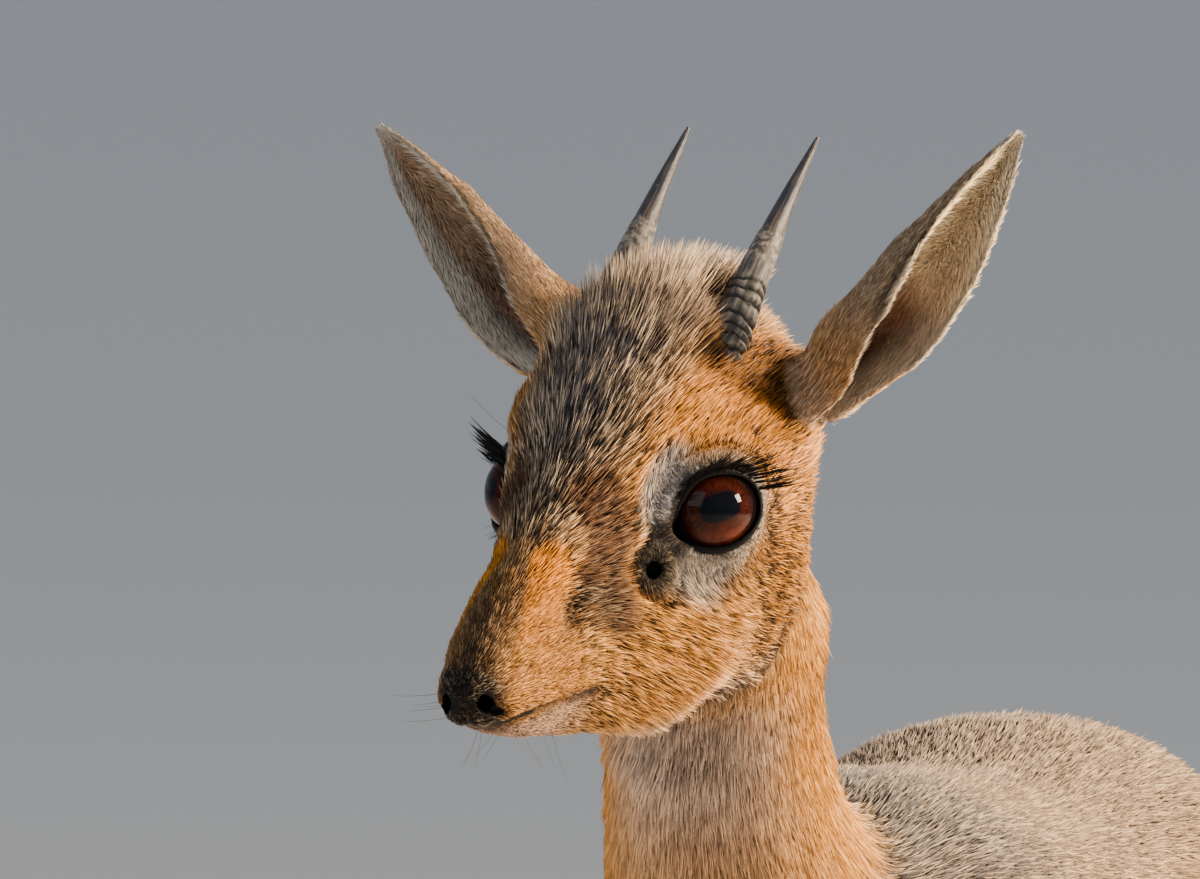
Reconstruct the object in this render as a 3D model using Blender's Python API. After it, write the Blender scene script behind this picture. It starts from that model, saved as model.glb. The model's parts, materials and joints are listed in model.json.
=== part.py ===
"""A life-size standing dik-dik, a male with short ringed horns, its head turned to its right.

The animal faces -Y, its own left is +X and the floor is z = 0. Sizes below are in millimetres
and every mesh is built in metres. The trunk and the legs are lofted tubes fused into one body,
which thin cuts then part. The head is a loft of its own, with lids, mouth, nostrils and crest.
"""
import math
import random

import bmesh
import bpy
import numpy as np
from mathutils import Matrix, Vector
from mathutils.bvhtree import BVHTree

MM = 0.001
GAP = 0.3                      # clearance between neighbouring pieces

# Driving dimensions
SHOULDER_HEIGHT = 386.0
EYE_HEIGHT = 453.0
HEAD_LENGTH = 135.0
EYE_RADIUS = 12.5
EYE_SPACING = 42.0             # between the centres of the eyeballs
EAR_LENGTH = 82.0
EAR_RADIUS = 14.0
EAR_WALL = 2.0
HORN_LENGTH = 66.0
HORN_RADIUS = 5.4
HORN_RINGS = (7.0, 30.0)        # where the rings begin and end, from the sunk root
HORN_RING_PITCH = 3.3
HOOF_LENGTH = 27.0
HOOF_WIDTH = 9.2
HOOF_HEIGHT = 17.0

# The head's place: between the eyes, and how it is turned, nodded and tilted
HEAD_PLACE = Vector((-20.0, -222.0, EYE_HEIGHT))
HEAD_TURN = math.radians(-20.2)
HEAD_NOD = math.radians(17.6)
HEAD_TILT = math.radians(2.2)

COLOURS = {
    "coat": ((0.50, 0.31, 0.16), 0.85),
    "grizzle": ((0.36, 0.30, 0.25), 0.85),
    "shin": ((0.60, 0.40, 0.22), 0.85),
    "ear": ((0.42, 0.30, 0.21), 0.85),
    "horn": ((0.10, 0.09, 0.09), 0.45),
    "hoof": ((0.05, 0.045, 0.04), 0.5),
    "eye": ((0.10, 0.03, 0.012), 0.05),
}


def smooth(table, name_column, at):
    """One column of a table of stations, read at the given places by a monotone cubic."""
    t = np.array([row[0] for row in table], float)
    v = np.array([row[name_column] for row in table], float)
    slope = np.diff(v) / np.diff(t)
    tangent = np.zeros_like(v)
    tangent[0], tangent[-1] = slope[0], slope[-1]
    for i in range(1, len(v) - 1):
        if slope[i - 1] * slope[i] > 0:
            tangent[i] = 2 * slope[i - 1] * slope[i] / (slope[i - 1] + slope[i])
    at = np.clip(np.asarray(at, float), t[0], t[-1])
    i = np.clip(np.searchsorted(t, at, side="right") - 1, 0, len(t) - 2)
    h = t[i + 1] - t[i]
    s = (at - t[i]) / h
    return ((1 + 2 * s) * (1 - s) ** 2 * v[i] + s * (1 - s) ** 2 * h * tangent[i]
            + s * s * (3 - 2 * s) * v[i + 1] + s * s * (s - 1) * h * tangent[i + 1])


def bell(distance, reach):
    """1 at no distance, falling smoothly to nearly 0 at twice the reach."""
    return math.exp(-(distance / reach) ** 2)


def ease(value, low, high):
    """0 at low, 1 at high, with smooth ends."""
    t = min(1.0, max(0.0, (value - low) / (high - low)))
    return t * t * (3 - 2 * t)


def material(name):
    """The Principled material of one finish."""
    found = bpy.data.materials.get(name)
    if found:
        return found
    colour, roughness = COLOURS[name]
    made = bpy.data.materials.new(name)
    made.use_nodes = True
    shader = made.node_tree.nodes["Principled BSDF"]
    shader.inputs["Base Color"].default_value = (*colour, 1.0)
    shader.inputs["Roughness"].default_value = roughness
    return made


def new_object(name, bm, finish="coat"):
    """An object of a bmesh built in millimetres, shaded smooth, with its faces pointing out."""
    bmesh.ops.recalc_face_normals(bm, faces=bm.faces)
    bmesh.ops.scale(bm, vec=(MM, MM, MM), verts=bm.verts)
    mesh = bpy.data.meshes.new(name)
    bm.to_mesh(mesh)
    bm.free()
    mesh.shade_smooth()
    mesh.materials.append(material(finish))
    made = bpy.data.objects.new(name, mesh)
    bpy.context.collection.objects.link(made)
    return made


def bridge(bm, rings, cap=True):
    """Faces between rings of vertices, each end closed by a fan."""
    for a, b in zip(rings, rings[1:]):
        for i in range(len(a)):
            j = (i + 1) % len(a)
            bm.faces.new((a[i], a[j], b[j], b[i]))
    if cap:
        for ring in (rings[0], rings[-1]):
            middle = sum((v.co for v in ring), Vector()) / len(ring)
            hub = bm.verts.new(middle)
            for i in range(len(ring)):
                bm.faces.new((ring[i], ring[(i + 1) % len(ring)], hub))


def rounded(angle, power):
    """Cosine and sine of an angle, squared off by a superellipse's power."""
    c, s = math.cos(angle), math.sin(angle)
    return (math.copysign(abs(c) ** (2 / power), c), math.copysign(abs(s) ** (2 / power), s))


def ring_at(bm, centre, side, up, half_width, above, below, power, count):
    """A ring of vertices round a centre: half_width along side, above and below along up."""
    ring = []
    for i in range(count):
        c, s = rounded(2 * math.pi * i / count, power)
        ring.append(bm.verts.new(centre + side * (c * half_width)
                                 + up * (s * (above if s > 0 else below))))
    return ring


def limb(name, table, step, count, mirror=1, stride=0.0, finish="coat"):
    """A closed tube through stations (place, x, y, z, half across, half fore and aft)."""
    places = np.arange(table[0][0], table[-1][0] + step / 2, step)
    columns = [smooth(table, c, places) for c in range(1, 6)]
    centres = [Vector((x * mirror, y + stride * ease(300 - z, 0, 260), z))
               for x, y, z in zip(*columns[:3])]
    side = Vector((1, 0, 0))
    bm = bmesh.new()
    rings = []
    for i, centre in enumerate(centres):
        ahead = centres[min(i + 1, len(centres) - 1)] - centres[max(i - 1, 0)]
        along = ahead.normalized()
        across = (side - along * side.dot(along)).normalized()
        rings.append(ring_at(bm, centre, across, along.cross(across), columns[3][i],
                             columns[4][i], columns[4][i], 2.0, count))
    bridge(bm, rings)
    return new_object(name, bm, finish)


# Trunk stations along the spine: y, top, bottom, half width, level of the widest part
TRUNK = (
    (-174, 318, 290, 8, 303),
    (-168, 334, 270, 24, 302),
    (-152, 354, 252, 38, 304),
    (-125, 374, 242, 49, 312),
    (-92, 382, 238, 57, 320),
    (-55, 381, 236, 61, 316),
    (-15, 377, 237, 64, 308),
    (30, 375, 241, 65, 309),
    (70, 378, 250, 61, 320),
    (105, 380, 264, 60, 328),
    (135, 378, 279, 57, 330),
    (158, 369, 294, 48, 327),
    (176, 355, 304, 36, 326),
    (187, 340, 313, 21, 325),
    (190, 332, 320, 8, 326),
)

# Stations down a leg: place, x, y, z, half across, half fore and aft
FORELEG = (
    (0, 34, -86, 346, 6, 14),
    (40, 43, -104, 318, 13, 29),
    (75, 42, -124, 290, 14, 27),
    (115, 37, -112, 255, 13.5, 22),
    (145, 33, -105, 225, 11, 15.5),
    (190, 30, -108, 180, 8.6, 10.5),
    (232, 28.5, -112, 140, 7.0, 7.6),
    (248, 28, -113, 125, 7.8, 8.2),
    (264, 28, -112, 110, 6.0, 6.4),
    (295, 28, -112, 80, 5.0, 5.6),
    (324, 28, -112, 52, 5.2, 5.8),
    (338, 28, -113, 38, 6.8, 7.6),
    (350, 28, -117, 27, 6.4, 6.8),
    (366, 28, -123, 13, 9.2, 9.4),
)
HINDLEG = (
    (0, 30, 124, 344, 12, 40),
    (44, 38, 119, 304, 25, 57),
    (86, 39, 109, 264, 23, 51),
    (122, 37, 115, 230, 17, 35),
    (166, 34, 136, 190, 11, 19),
    (202, 32, 156, 158, 8.0, 11.5),
    (230, 31, 168, 132, 8.0, 12.0),
    (250, 31, 167, 113, 6.4, 8.2),
    (284, 31, 163, 80, 5.6, 6.6),
    (312, 31, 160, 52, 5.6, 6.4),
    (326, 31, 158, 38, 7.2, 8.2),
    (338, 31, 154, 27, 6.6, 7.2),
    (354, 31, 148, 13, 9.3, 9.6),
)
FORE_STRIDE = {1: -8.0, -1: 4.0}
HIND_STRIDE = {1: 12.0, -1: -3.0}
TAIL = (
    (0, 0, 164, 350, 8, 8),
    (17, 0, 181, 349, 8.5, 8),
    (32, 0, 192, 339, 8, 7.5),
    (48, 0, 196, 323, 6.8, 6.2),
    (62, 0, 197, 309, 4.4, 4.0),
    (70, 0, 197, 301, 1.4, 1.2),
)
NECK = (
    (0, -1, -98, 312, 36, 54),
    (30, -4, -118, 332, 36, 47),
    (58, -10, -138, 352, 32, 39),
    (85, -13, -151, 375, 27.5, 34),
    (112, -13, -163, 398, 25.4, 31),
    (140, -9, -176, 426, 25, 26.5),
    (157, -8, -184, 440, 24, 23.5),
    (173, -7, -192, 453, 19, 19),
)

# Stations along the head, counted forwards from between the eyes:
# place, top, bottom, half width, level of the widest part
HEAD = (
    (-58, 15, -6, 7, 5),
    (-54, 24, -20, 15, 4),
    (-46, 33, -35, 22, 2),
    (-34, 39, -45, 27.5, -1),
    (-20, 41.5, -50, 30.5, -4),
    (-4, 40, -52, 32, -6),
    (8, 35, -51, 30, -7),
    (20, 26.5, -48, 25, -10),
    (32, 17, -44, 20, -13),
    (45, 7.5, -39.5, 16, -17),
    (57, -0.5, -35, 12.4, -19),
    (67, -7, -30.5, 10.2, -20),
    (73.5, -12, -26.5, 7.8, -19.5),
    (77, -16, -23.2, 4.2, -19.5),
)
BODY_TRIANGLES = 4400
HEAD_STEP = 3.75
HEAD_SIDES = 36

# Swellings and hollows of one half of the head: place (left, forward, up), reach,
# and the shift at the middle; the other half is its mirror image
SWELLINGS = (
    ((27, 4, 17), 11, (0.8, 0.6, 1.6)),
    ((25, -16, -24), 18, (2.5, 0, -0.5)),
    ((22, 28, -6), 9, (-2.6, -0.6, 0)),
    ((18, 34, 4), 8, (-1.2, 0, -0.8)),
    ((9, 63, -10), 10, (1.6, 0.4, 0.4)),
    ((16, 46, -6), 8, (-1.6, 0, -0.4)),
    ((13, 52, -22), 7, (1.2, 0, 0)),
    ((12, 47, -35), 8, (-1.6, 0, 0.4)),
    ((18.6, -21, 33), 8, (0.4, -0.3, 1.8)),
    ((27, -38, 14), 13, (3.0, -1.0, 1.5)),
    ((8.5, 53, -3.5), 7, (0.8, 0.4, 0.9)),
    ((14.2, 42, -7), 6.5, (-1.3, 0, -0.2)),
)

EYE_PLACE = Vector((21.0, 1.5, 0.0))
GAZE = Vector((0.735, 0.640, 0.225)).normalized()
LID_DEPTH = 1.5
LID_HALF_WIDTH = 10.6
LID_HALF_HEIGHT = 8.8
LID_SLANT = math.radians(5)
GLAND_PLACE = Vector((20.2, 24.9, -6.3))
HORN_BASE = Vector((16.2, -20.0, 27.0))
HORN_TIP = Vector((16.9, -70.2, 60.6))
MOUTH_PATH = ((3.0, 73.0, -25.5), (8.5, 68.0, -25.0), (11.5, 61.0, -25.2), (13.0, 53.0, -26.4),
              (14.1, 44.6, -27.6))
NOSTRIL_PLACE = Vector((5.0, 75.2, -19.6))

# Each ear: mirror, root, tip, which way its cup opens, as (left, forward, up), and the degrees
# by which the cup is turned at the root and at the tip
EARS = {
    "left": (1, (24, -36, 8), (85.0, -50.2, 76.0), (0.89, 0.15, -0.40), (-6, -40)),
    "right": (-1, (24, -36, 8), (87.0, -49.6, 65.0), (-0.10, 0.99, 0.02), (-38, 20)),
}

# Sections of an ear from root to tip: place, radius, half angle of the wall, wall, shift
EAR_SECTIONS = (
    (0.0, 9.0, 168, 6.0, 0.0),
    (0.15, 12.2, 160, 3.4, 1.0),
    (0.35, 12.8, 136, 1.9, 3.2),
    (0.55, 11.0, 118, 1.5, 4.0),
    (0.75, 7.4, 108, 1.3, 3.0),
    (0.90, 3.6, 100, 1.1, 1.2),
    (1.0, 0.9, 90, 0.6, 0.0),
)


def remesh(target, voxel):
    """Fuses what the object holds into one closed skin of even faces."""
    fuse = target.modifiers.new("Fuse", "REMESH")
    fuse.mode = "VOXEL"
    fuse.voxel_size = voxel * MM
    apply_modifiers(target)


def apply_modifiers(target):
    """Puts the evaluated mesh in the place of the object's own."""
    graph = bpy.context.evaluated_depsgraph_get()
    made = bpy.data.meshes.new_from_object(target.evaluated_get(graph))
    old = target.data
    target.modifiers.clear()
    target.data = made
    bpy.data.meshes.remove(old)


def join(objects, name):
    """Several meshes put together in the first one's object."""
    bm = bmesh.new()
    for each in objects:
        bm.from_mesh(each.data)
    first = objects[0]
    bm.to_mesh(first.data)
    bm.free()
    for each in objects[1:]:
        bpy.data.objects.remove(each)
    first.name = name
    return first


def relax(target, weight_at, rounds):
    """Smooths the mesh by as much as weight_at says at each point, in rounds."""
    bm = bmesh.new()
    bm.from_mesh(target.data)
    weights = [weight_at(v.co / MM) for v in bm.verts]
    moving = [(v, w) for v, w in zip(bm.verts, weights) if w > 0.01]
    for _ in range(rounds):
        moved = []
        for v, w in moving:
            around = [e.other_vert(v).co for e in v.link_edges]
            middle = sum(around, Vector()) / len(around)
            moved.append(v.co.lerp(middle, 0.6 * w))
        for (v, _), place in zip(moving, moved):
            v.co = place
    bm.to_mesh(target.data)
    bm.free()


def thin_out(target, triangles):
    """Collapses edges until the mesh has about this many triangles."""
    target.data.calc_loop_triangles()
    now = len(target.data.loop_triangles)
    fewer = target.modifiers.new("Fewer", "DECIMATE")
    fewer.ratio = min(1.0, triangles / now)
    fewer.use_collapse_triangulate = True
    apply_modifiers(target)


def combine(target, others, operation, solver="EXACT"):
    """One Boolean of the target with a collection of closed meshes, which are then removed."""
    group = bpy.data.collections.new("Operands")
    bpy.context.scene.collection.children.link(group)
    for each in others:
        for holder in list(each.users_collection):
            holder.objects.unlink(each)
        group.objects.link(each)
    cut = target.modifiers.new("Combine", "BOOLEAN")
    cut.operation = operation
    cut.solver = solver
    cut.operand_type = "COLLECTION"
    cut.collection = group
    apply_modifiers(target)
    for each in list(others):
        bpy.data.objects.remove(each)
    bpy.data.collections.remove(group)
    keep_largest(target)


def keep_largest(target):
    """Drops all but the largest closed surface of the mesh."""
    bm = bmesh.new()
    bm.from_mesh(target.data)
    bmesh.ops.remove_doubles(bm, verts=bm.verts, dist=0.004 * MM)
    bm.verts.ensure_lookup_table()
    left, shells = set(bm.verts), []
    while left:
        start = left.pop()
        shell, edge = {start}, [start]
        while edge:
            for link in edge.pop().link_edges:
                for v in link.verts:
                    if v in left:
                        left.discard(v)
                        shell.add(v)
                        edge.append(v)
        shells.append(shell)
    largest = max(shells, key=lambda s: box_size(s))
    bmesh.ops.delete(bm, geom=[v for v in bm.verts if v not in largest], context="VERTS")
    bmesh.ops.triangulate(bm, faces=bm.faces)
    bm.to_mesh(target.data)
    bm.free()


def box_size(verts):
    """The diagonal of the box round some vertices."""
    spots = np.array([v.co for v in verts])
    return float(np.linalg.norm(spots.max(0) - spots.min(0)))


def copy_of(source, name):
    """A copy of an object with a mesh of its own."""
    made = bpy.data.objects.new(name, source.data.copy())
    bpy.context.collection.objects.link(made)
    return made


def swollen(source, by=GAP):
    """A copy of a solid whose surface stands out by a small clearance."""
    made = copy_of(source, "swollen")
    bm = bmesh.new()
    bm.from_mesh(made.data)
    bm.normal_update()
    shifts = [v.normal * (by * MM * max(1.0, min(v.calc_shell_factor(), 1.6))) for v in bm.verts]
    for v, shift in zip(bm.verts, shifts):
        v.co += shift
    bm.to_mesh(made.data)
    bm.free()
    return made


def half_space_piece(source, name, planes, finish=None):
    """The part of a closed mesh behind each plane (point, outward normal), cuts filled flat."""
    made = copy_of(source, name)
    bm = bmesh.new()
    bm.from_mesh(made.data)
    for point, normal in planes:
        cut = bmesh.ops.bisect_plane(
            bm, geom=bm.verts[:] + bm.edges[:] + bm.faces[:], dist=1e-7,
            plane_co=Vector(point) * MM, plane_no=Vector(normal), clear_outer=True)
        rim = [e for e in cut["geom_cut"] if isinstance(e, bmesh.types.BMEdge)]
        filled = bmesh.ops.holes_fill(bm, edges=rim, sides=0)
        bmesh.ops.triangulate(bm, faces=filled["faces"])
    bm.to_mesh(made.data)
    bm.free()
    if finish:
        made.data.materials.clear()
        made.data.materials.append(material(finish))
    keep_largest(made)
    return made


def trunk_loft():
    """The barrel of the body, from the point of the chest to the buttocks."""
    bm = bmesh.new()
    rings = []
    for y in np.arange(TRUNK[0][0], TRUNK[-1][0] + 1, 7):
        top, bottom, half, level = (float(smooth(TRUNK, c, y)) for c in range(1, 5))
        rings.append(ring_at(bm, Vector((0, y, level)), Vector((1, 0, 0)), Vector((0, 0, 1)),
                             half, top - level, level - bottom, 2.15, 36))
    bridge(bm, rings)
    return new_object("trunk", bm)


def seam_softness(spot):
    """How much the fused body is smoothed at a spot: most where limbs leave the trunk."""
    level = (spot.z - 225) / 35
    return min(1.0, max(0.0, level))


def body_skin():
    """Trunk, neck, shoulders, haunches and legs fused into one skin, down to the coronets."""
    pieces = [trunk_loft(), limb("neck", NECK, 10, 28)]
    for mirror in (1, -1):
        pieces.append(limb("foreleg", FORELEG, 6, 16, mirror, FORE_STRIDE[mirror]))
        pieces.append(limb("hindleg", HINDLEG, 6, 18, mirror, HIND_STRIDE[mirror]))
    body = join(pieces, "body")
    remesh(body, 2.2)
    relax(body, seam_softness, 16)
    return body


def head_space(left, forward, up):
    """A point of the head's own frame as x, y, z."""
    return Vector((left, -forward, up))


def head_matrix():
    """The head's place and pose in the animal's frame, in metres."""
    turn = Matrix.Rotation(HEAD_TURN, 4, "Z")
    nod = Matrix.Rotation(HEAD_NOD, 4, "X")
    tilt = Matrix.Rotation(HEAD_TILT, 4, "Y")
    return Matrix.Translation(HEAD_PLACE * MM) @ turn @ nod @ tilt


def sculpted(spot):
    """Where a point of the plain head loft goes once swellings and eye sockets shape it."""
    shift = Vector()
    for mirror in (1, -1):
        for place, reach, amount in SWELLINGS:
            centre = head_space(place[0] * mirror, place[1], place[2])
            weight = bell((spot - centre).length, reach)
            shift += head_space(amount[0] * mirror, amount[1], amount[2]) * weight
    spot = spot + shift
    for mirror in (1, -1):
        centre, gaze, _, _ = eye_frame(mirror)
        ray = spot - centre
        away = math.degrees(ray.angle(gaze))
        weight = (1 - ease(away, 48, 92)) * (1 - ease(ray.length, 15.5, 25))
        spot = centre + ray.normalized() * (ray.length
                                            + (EYE_RADIUS + LID_DEPTH - ray.length) * weight)
    return spot


def eye_frame(mirror):
    """An eye's centre, the way it looks, and its outward and upward directions."""
    centre = head_space(EYE_PLACE.x * mirror, EYE_PLACE.y, EYE_PLACE.z)
    gaze = head_space(GAZE.x * mirror, GAZE.y, GAZE.z)
    up = (Vector((0, 0, 1)) - gaze * gaze.z).normalized()
    out = up.cross(gaze) * mirror
    out, up = (out * math.cos(LID_SLANT) + up * math.sin(LID_SLANT),
               up * math.cos(LID_SLANT) - out * math.sin(LID_SLANT))
    return centre, gaze, out, up


def lid_outline(count):
    """The opening between the lids as (out, up) offsets, pointed at its inner corner."""
    outline = []
    for i in range(count):
        angle = 2 * math.pi * i / count
        across, rise = math.cos(angle), math.sin(angle)
        inner = max(0.0, -across)
        x = LID_HALF_WIDTH * across * (1 + 0.06 * inner)
        y = LID_HALF_HEIGHT * rise * (1 - 0.34 * inner ** 3) - 1.1 * inner ** 2
        outline.append((x, y * (1.0 if rise > 0 else 0.98)))
    return outline


def head_loft():
    """The plain head, sculpted, in its own frame and in millimetres."""
    bm = bmesh.new()
    rings = []
    spread = np.arange(HEAD[0][0], HEAD[-1][0] + 0.1, HEAD_STEP)
    for f in spread:
        top, bottom, half, level = (float(smooth(HEAD, c, f)) for c in range(1, 5))
        snout = ease(f, 10, 50)
        centre = head_space(0, f, level)
        ring = []
        for i in range(HEAD_SIDES):
            angle = 2 * math.pi * i / HEAD_SIDES
            power = 2.0 - 0.25 * snout if math.sin(angle) > 0 else 2.5 - 0.5 * snout
            c, s = rounded(angle, power)
            ring.append(bm.verts.new(sculpted(centre + Vector((
                c * half, 0, s * (top - level if s > 0 else level - bottom))))))
        rings.append(ring)
    bridge(bm, rings)
    return bm


def ball(name, centre, radii, turn=None, detail=3, finish="coat"):
    """An ellipsoid with even triangles, in millimetres."""
    bm = bmesh.new()
    bmesh.ops.create_icosphere(bm, subdivisions=detail, radius=1.0)
    shape = Matrix.Diagonal((*radii, 1.0))
    if turn is not None:
        shape = turn.to_4x4() @ shape
    bmesh.ops.transform(bm, matrix=Matrix.Translation(centre) @ shape, verts=bm.verts)
    return new_object(name, bm, finish)


def aimed(axis, up=Vector((0, 0, 1))):
    """A rotation whose z axis is the given one, its y axis as near up as it can be."""
    z = axis.normalized()
    x = up.cross(z).normalized()
    return Matrix((x, z.cross(x), z)).transposed()


def tube(path, radii, sides, closed=False):
    """A bmesh of a round tube along points, with a radius at each."""
    bm = bmesh.new()
    rings = []
    last = None
    for i, point in enumerate(path):
        before = path[i - 1] if i or closed else path[i]
        after = path[(i + 1) % len(path)] if i + 1 < len(path) or closed else path[i]
        along = (after - before).normalized()
        if last is None:
            last = along.orthogonal().normalized()
        last = (last - along * along.dot(last)).normalized()
        rings.append(ring_at(bm, point, last, along.cross(last), radii[i], radii[i], radii[i],
                             2.0, sides))
    if closed:
        rings.append(rings[0])
    bridge(bm, rings, cap=not closed)
    return bm


def lid_cutter(mirror):
    """The prism that opens the lids in front of an eye."""
    centre, gaze, out, up = eye_frame(mirror)
    bm = bmesh.new()
    rings = []
    for depth, spread in ((2.0, 0.80), (EYE_RADIUS + 9.0, 1.30)):
        rings.append([bm.verts.new(centre + gaze * depth + out * (x * spread) + up * (y * spread))
                      for x, y in lid_outline(28)])
    bridge(bm, rings)
    return new_object("lid_cutter", bm)


def lid_rim(mirror):
    """The raised rim that runs round the opening of the lids."""
    centre, gaze, out, up = eye_frame(mirror)
    path = []
    for x, y in lid_outline(28):
        x, y = x * 1.03, y * 1.03
        deep = math.sqrt(max(4.0, (EYE_RADIUS + 1.0) ** 2 - x * x - y * y))
        path.append(centre + gaze * deep + out * x + up * y)
    return new_object("lid_rim", tube(path, [0.95] * len(path), 5, closed=True))


def surface_hit(tree, start, towards):
    """Where a ray meets the surface, and the surface's normal there."""
    spot, normal, _, _ = tree.ray_cast(start, (towards - start).normalized())
    return spot, normal


def head_details(tree):
    """What is cut from the head: eyes, lids' openings, glands, nostrils and the mouth's line."""
    cutters = []
    for mirror in (1, -1):
        centre, gaze, _, _ = eye_frame(mirror)
        cutters.append(eye_piece("socket", mirror, 1 + 1.2 * GAP / EYE_RADIUS))
        cutters.append(lid_cutter(mirror))
        gland = head_space(GLAND_PLACE.x * mirror, GLAND_PLACE.y, GLAND_PLACE.z)
        spot, normal = surface_hit(tree, gland * 2.2, gland * 0.2)
        cutters.append(ball("gland", spot + normal * 0.3, (3.0, 2.3, 3.4), aimed(normal), 2))
        nostril = head_space(NOSTRIL_PLACE.x * mirror, NOSTRIL_PLACE.y, NOSTRIL_PLACE.z)
        spot, normal = surface_hit(tree, nostril * 1.5, nostril * 0.5)
        lean = aimed(normal, Vector((0.6 * mirror, 0, 1)))
        cutters.append(ball("nostril", spot, (1.7, 2.9, 4.5), lean, 2))
    front = surface_hit(tree, head_space(0, 120, -25.6), head_space(0, 60, -25.6))[0]
    path = []
    for mirror in (-1, 1):
        side = []
        for left, forward, up in MOUTH_PATH:
            aim = head_space(0, min(forward, 66), up)
            away = head_space(left * mirror, forward, up) - aim
            side.append(surface_hit(tree, aim + away.normalized() * 60, aim)[0])
        path += side[::-1] + [front] if mirror < 0 else side
    radii = [0.45] + [0.85] * (len(path) - 2) + [0.45]
    cutters.append(new_object("mouth", tube(path, radii, 6)))
    return cutters


def hair_lock(root, along, lift, width, length, bend):
    """A flat tapered lock of hair, its root sunk and its tip bent back along the head."""
    bm = bmesh.new()
    across = along.cross(lift).normalized()
    rings = []
    for t in (0.0, 0.42, 0.78):
        place = root + lift * (length * t * (1 - bend * t)) + along * (length * bend * t * t * 1.6)
        half = width * (1 - 0.62 * t) * (0.8 + 0.9 * t * (1 - t))
        thick = width * 0.30 * (1 - 0.6 * t)
        rings.append([bm.verts.new(place + across * half), bm.verts.new(place + along * thick),
                      bm.verts.new(place - across * half), bm.verts.new(place - along * thick)])
    bridge(bm, rings, cap=False)
    bm.faces.new(rings[0])
    tip = bm.verts.new(root + lift * (length * (1 - bend)) + along * (length * bend * 1.6))
    for i in range(4):
        bm.faces.new((rings[-1][i], rings[-1][(i + 1) % 4], tip))
    return new_object("lock", bm)


def crest(tree):
    """The tuft of long hair on the crown, between the horns, as overlapping locks."""
    rng = random.Random(12)
    locks = []
    for row, forward in enumerate(np.arange(13, -40, -4.8)):
        narrow = ease(-forward, 12, 18)
        spread = 16.0 - 6.5 * narrow
        number = 6 if narrow < 0.5 else 4
        for i in range(number):
            left = spread * (2 * (i + 0.5 * (row % 2)) / (number - 0.5) - 1) + rng.uniform(-1, 1)
            ahead = forward + rng.uniform(-1.2, 1.2)
            spot, normal = surface_hit(tree, head_space(left, ahead, 90), head_space(left, ahead, 0))
            back = head_space(left * 0.02, -1, 0.1)
            along = (back - normal * back.dot(normal)).normalized()
            rise = ease(-forward, -12, 18)
            length = (8.0 + 7.0 * rise) * rng.uniform(0.85, 1.12)
            lift = (normal * (0.16 + 0.54 * rise) + along * (1.0 - 0.30 * rise)
                    + head_space(rng.uniform(-0.18, 0.18), 0, 0)).normalized()
            locks.append(hair_lock(spot - normal * 1.2, along, lift,
                                   rng.uniform(2.9, 3.7), length, rng.uniform(0.10, 0.26)))
    return locks


def head_piece():
    """The head with its details, in the animal's frame."""
    bm = head_loft()
    plain = bm.copy()
    bmesh.ops.recalc_face_normals(plain, faces=plain.faces)
    tree = BVHTree.FromBMesh(plain)
    head = new_object("head", bm, "coat")
    rims = [lid_rim(mirror) for mirror in (1, -1)]
    combine(head, rims, "UNION", "MANIFOLD")
    combine(head, head_details(tree), "DIFFERENCE", "MANIFOLD")
    combine(head, crest(tree), "UNION", "MANIFOLD")
    plain.free()
    return head


def eye_piece(name, mirror, scale=1.0):
    """An eyeball with its clearer bulge in front."""
    centre, gaze, _, _ = eye_frame(mirror)
    bm = bmesh.new()
    bmesh.ops.create_uvsphere(bm, u_segments=16, v_segments=12, radius=EYE_RADIUS * scale)
    for v in bm.verts:
        away = math.degrees(v.co.angle(Vector((0, 0, 1))))
        v.co *= 1 + 0.075 * (1 - ease(away, 12, 46))
    bmesh.ops.transform(bm, matrix=Matrix.Translation(centre) @ aimed(gaze).to_4x4(),
                        verts=bm.verts)
    return new_object(name, bm, "eye")


def horn_piece(name, mirror):
    """A short straight spike with ridges round its lower part."""
    root = head_space(HORN_BASE.x * mirror, HORN_BASE.y, HORN_BASE.z)
    tip = head_space(HORN_TIP.x * mirror, HORN_TIP.y, HORN_TIP.z)
    lean = (tip - root).normalized()
    root = root - lean * 6
    length = (tip - root).length
    first, last = HORN_RINGS
    rings = list(np.arange(first, last, HORN_RING_PITCH / 2))
    places = [0.0, first / 2] + rings + list(np.linspace(last + 2, length, 9))
    path, radii = [], []
    for i, place in enumerate(places):
        t = place / length
        bow = head_space(0, 1, 0) * (2.6 * math.sin(math.pi * t))
        path.append(root.lerp(tip, t) + bow)
        radius = HORN_RADIUS * (1 - t) ** 0.80 * (1 - 0.12 * t) + 0.45
        ridged = ease(place, first - 1, first + 2) * (1 - ease(place, last - 5, last + 1))
        radii.append(radius * (1 + 0.09 * ridged * (-1) ** i))
    return new_object(name, tube(path, radii, 10), "horn")


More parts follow.
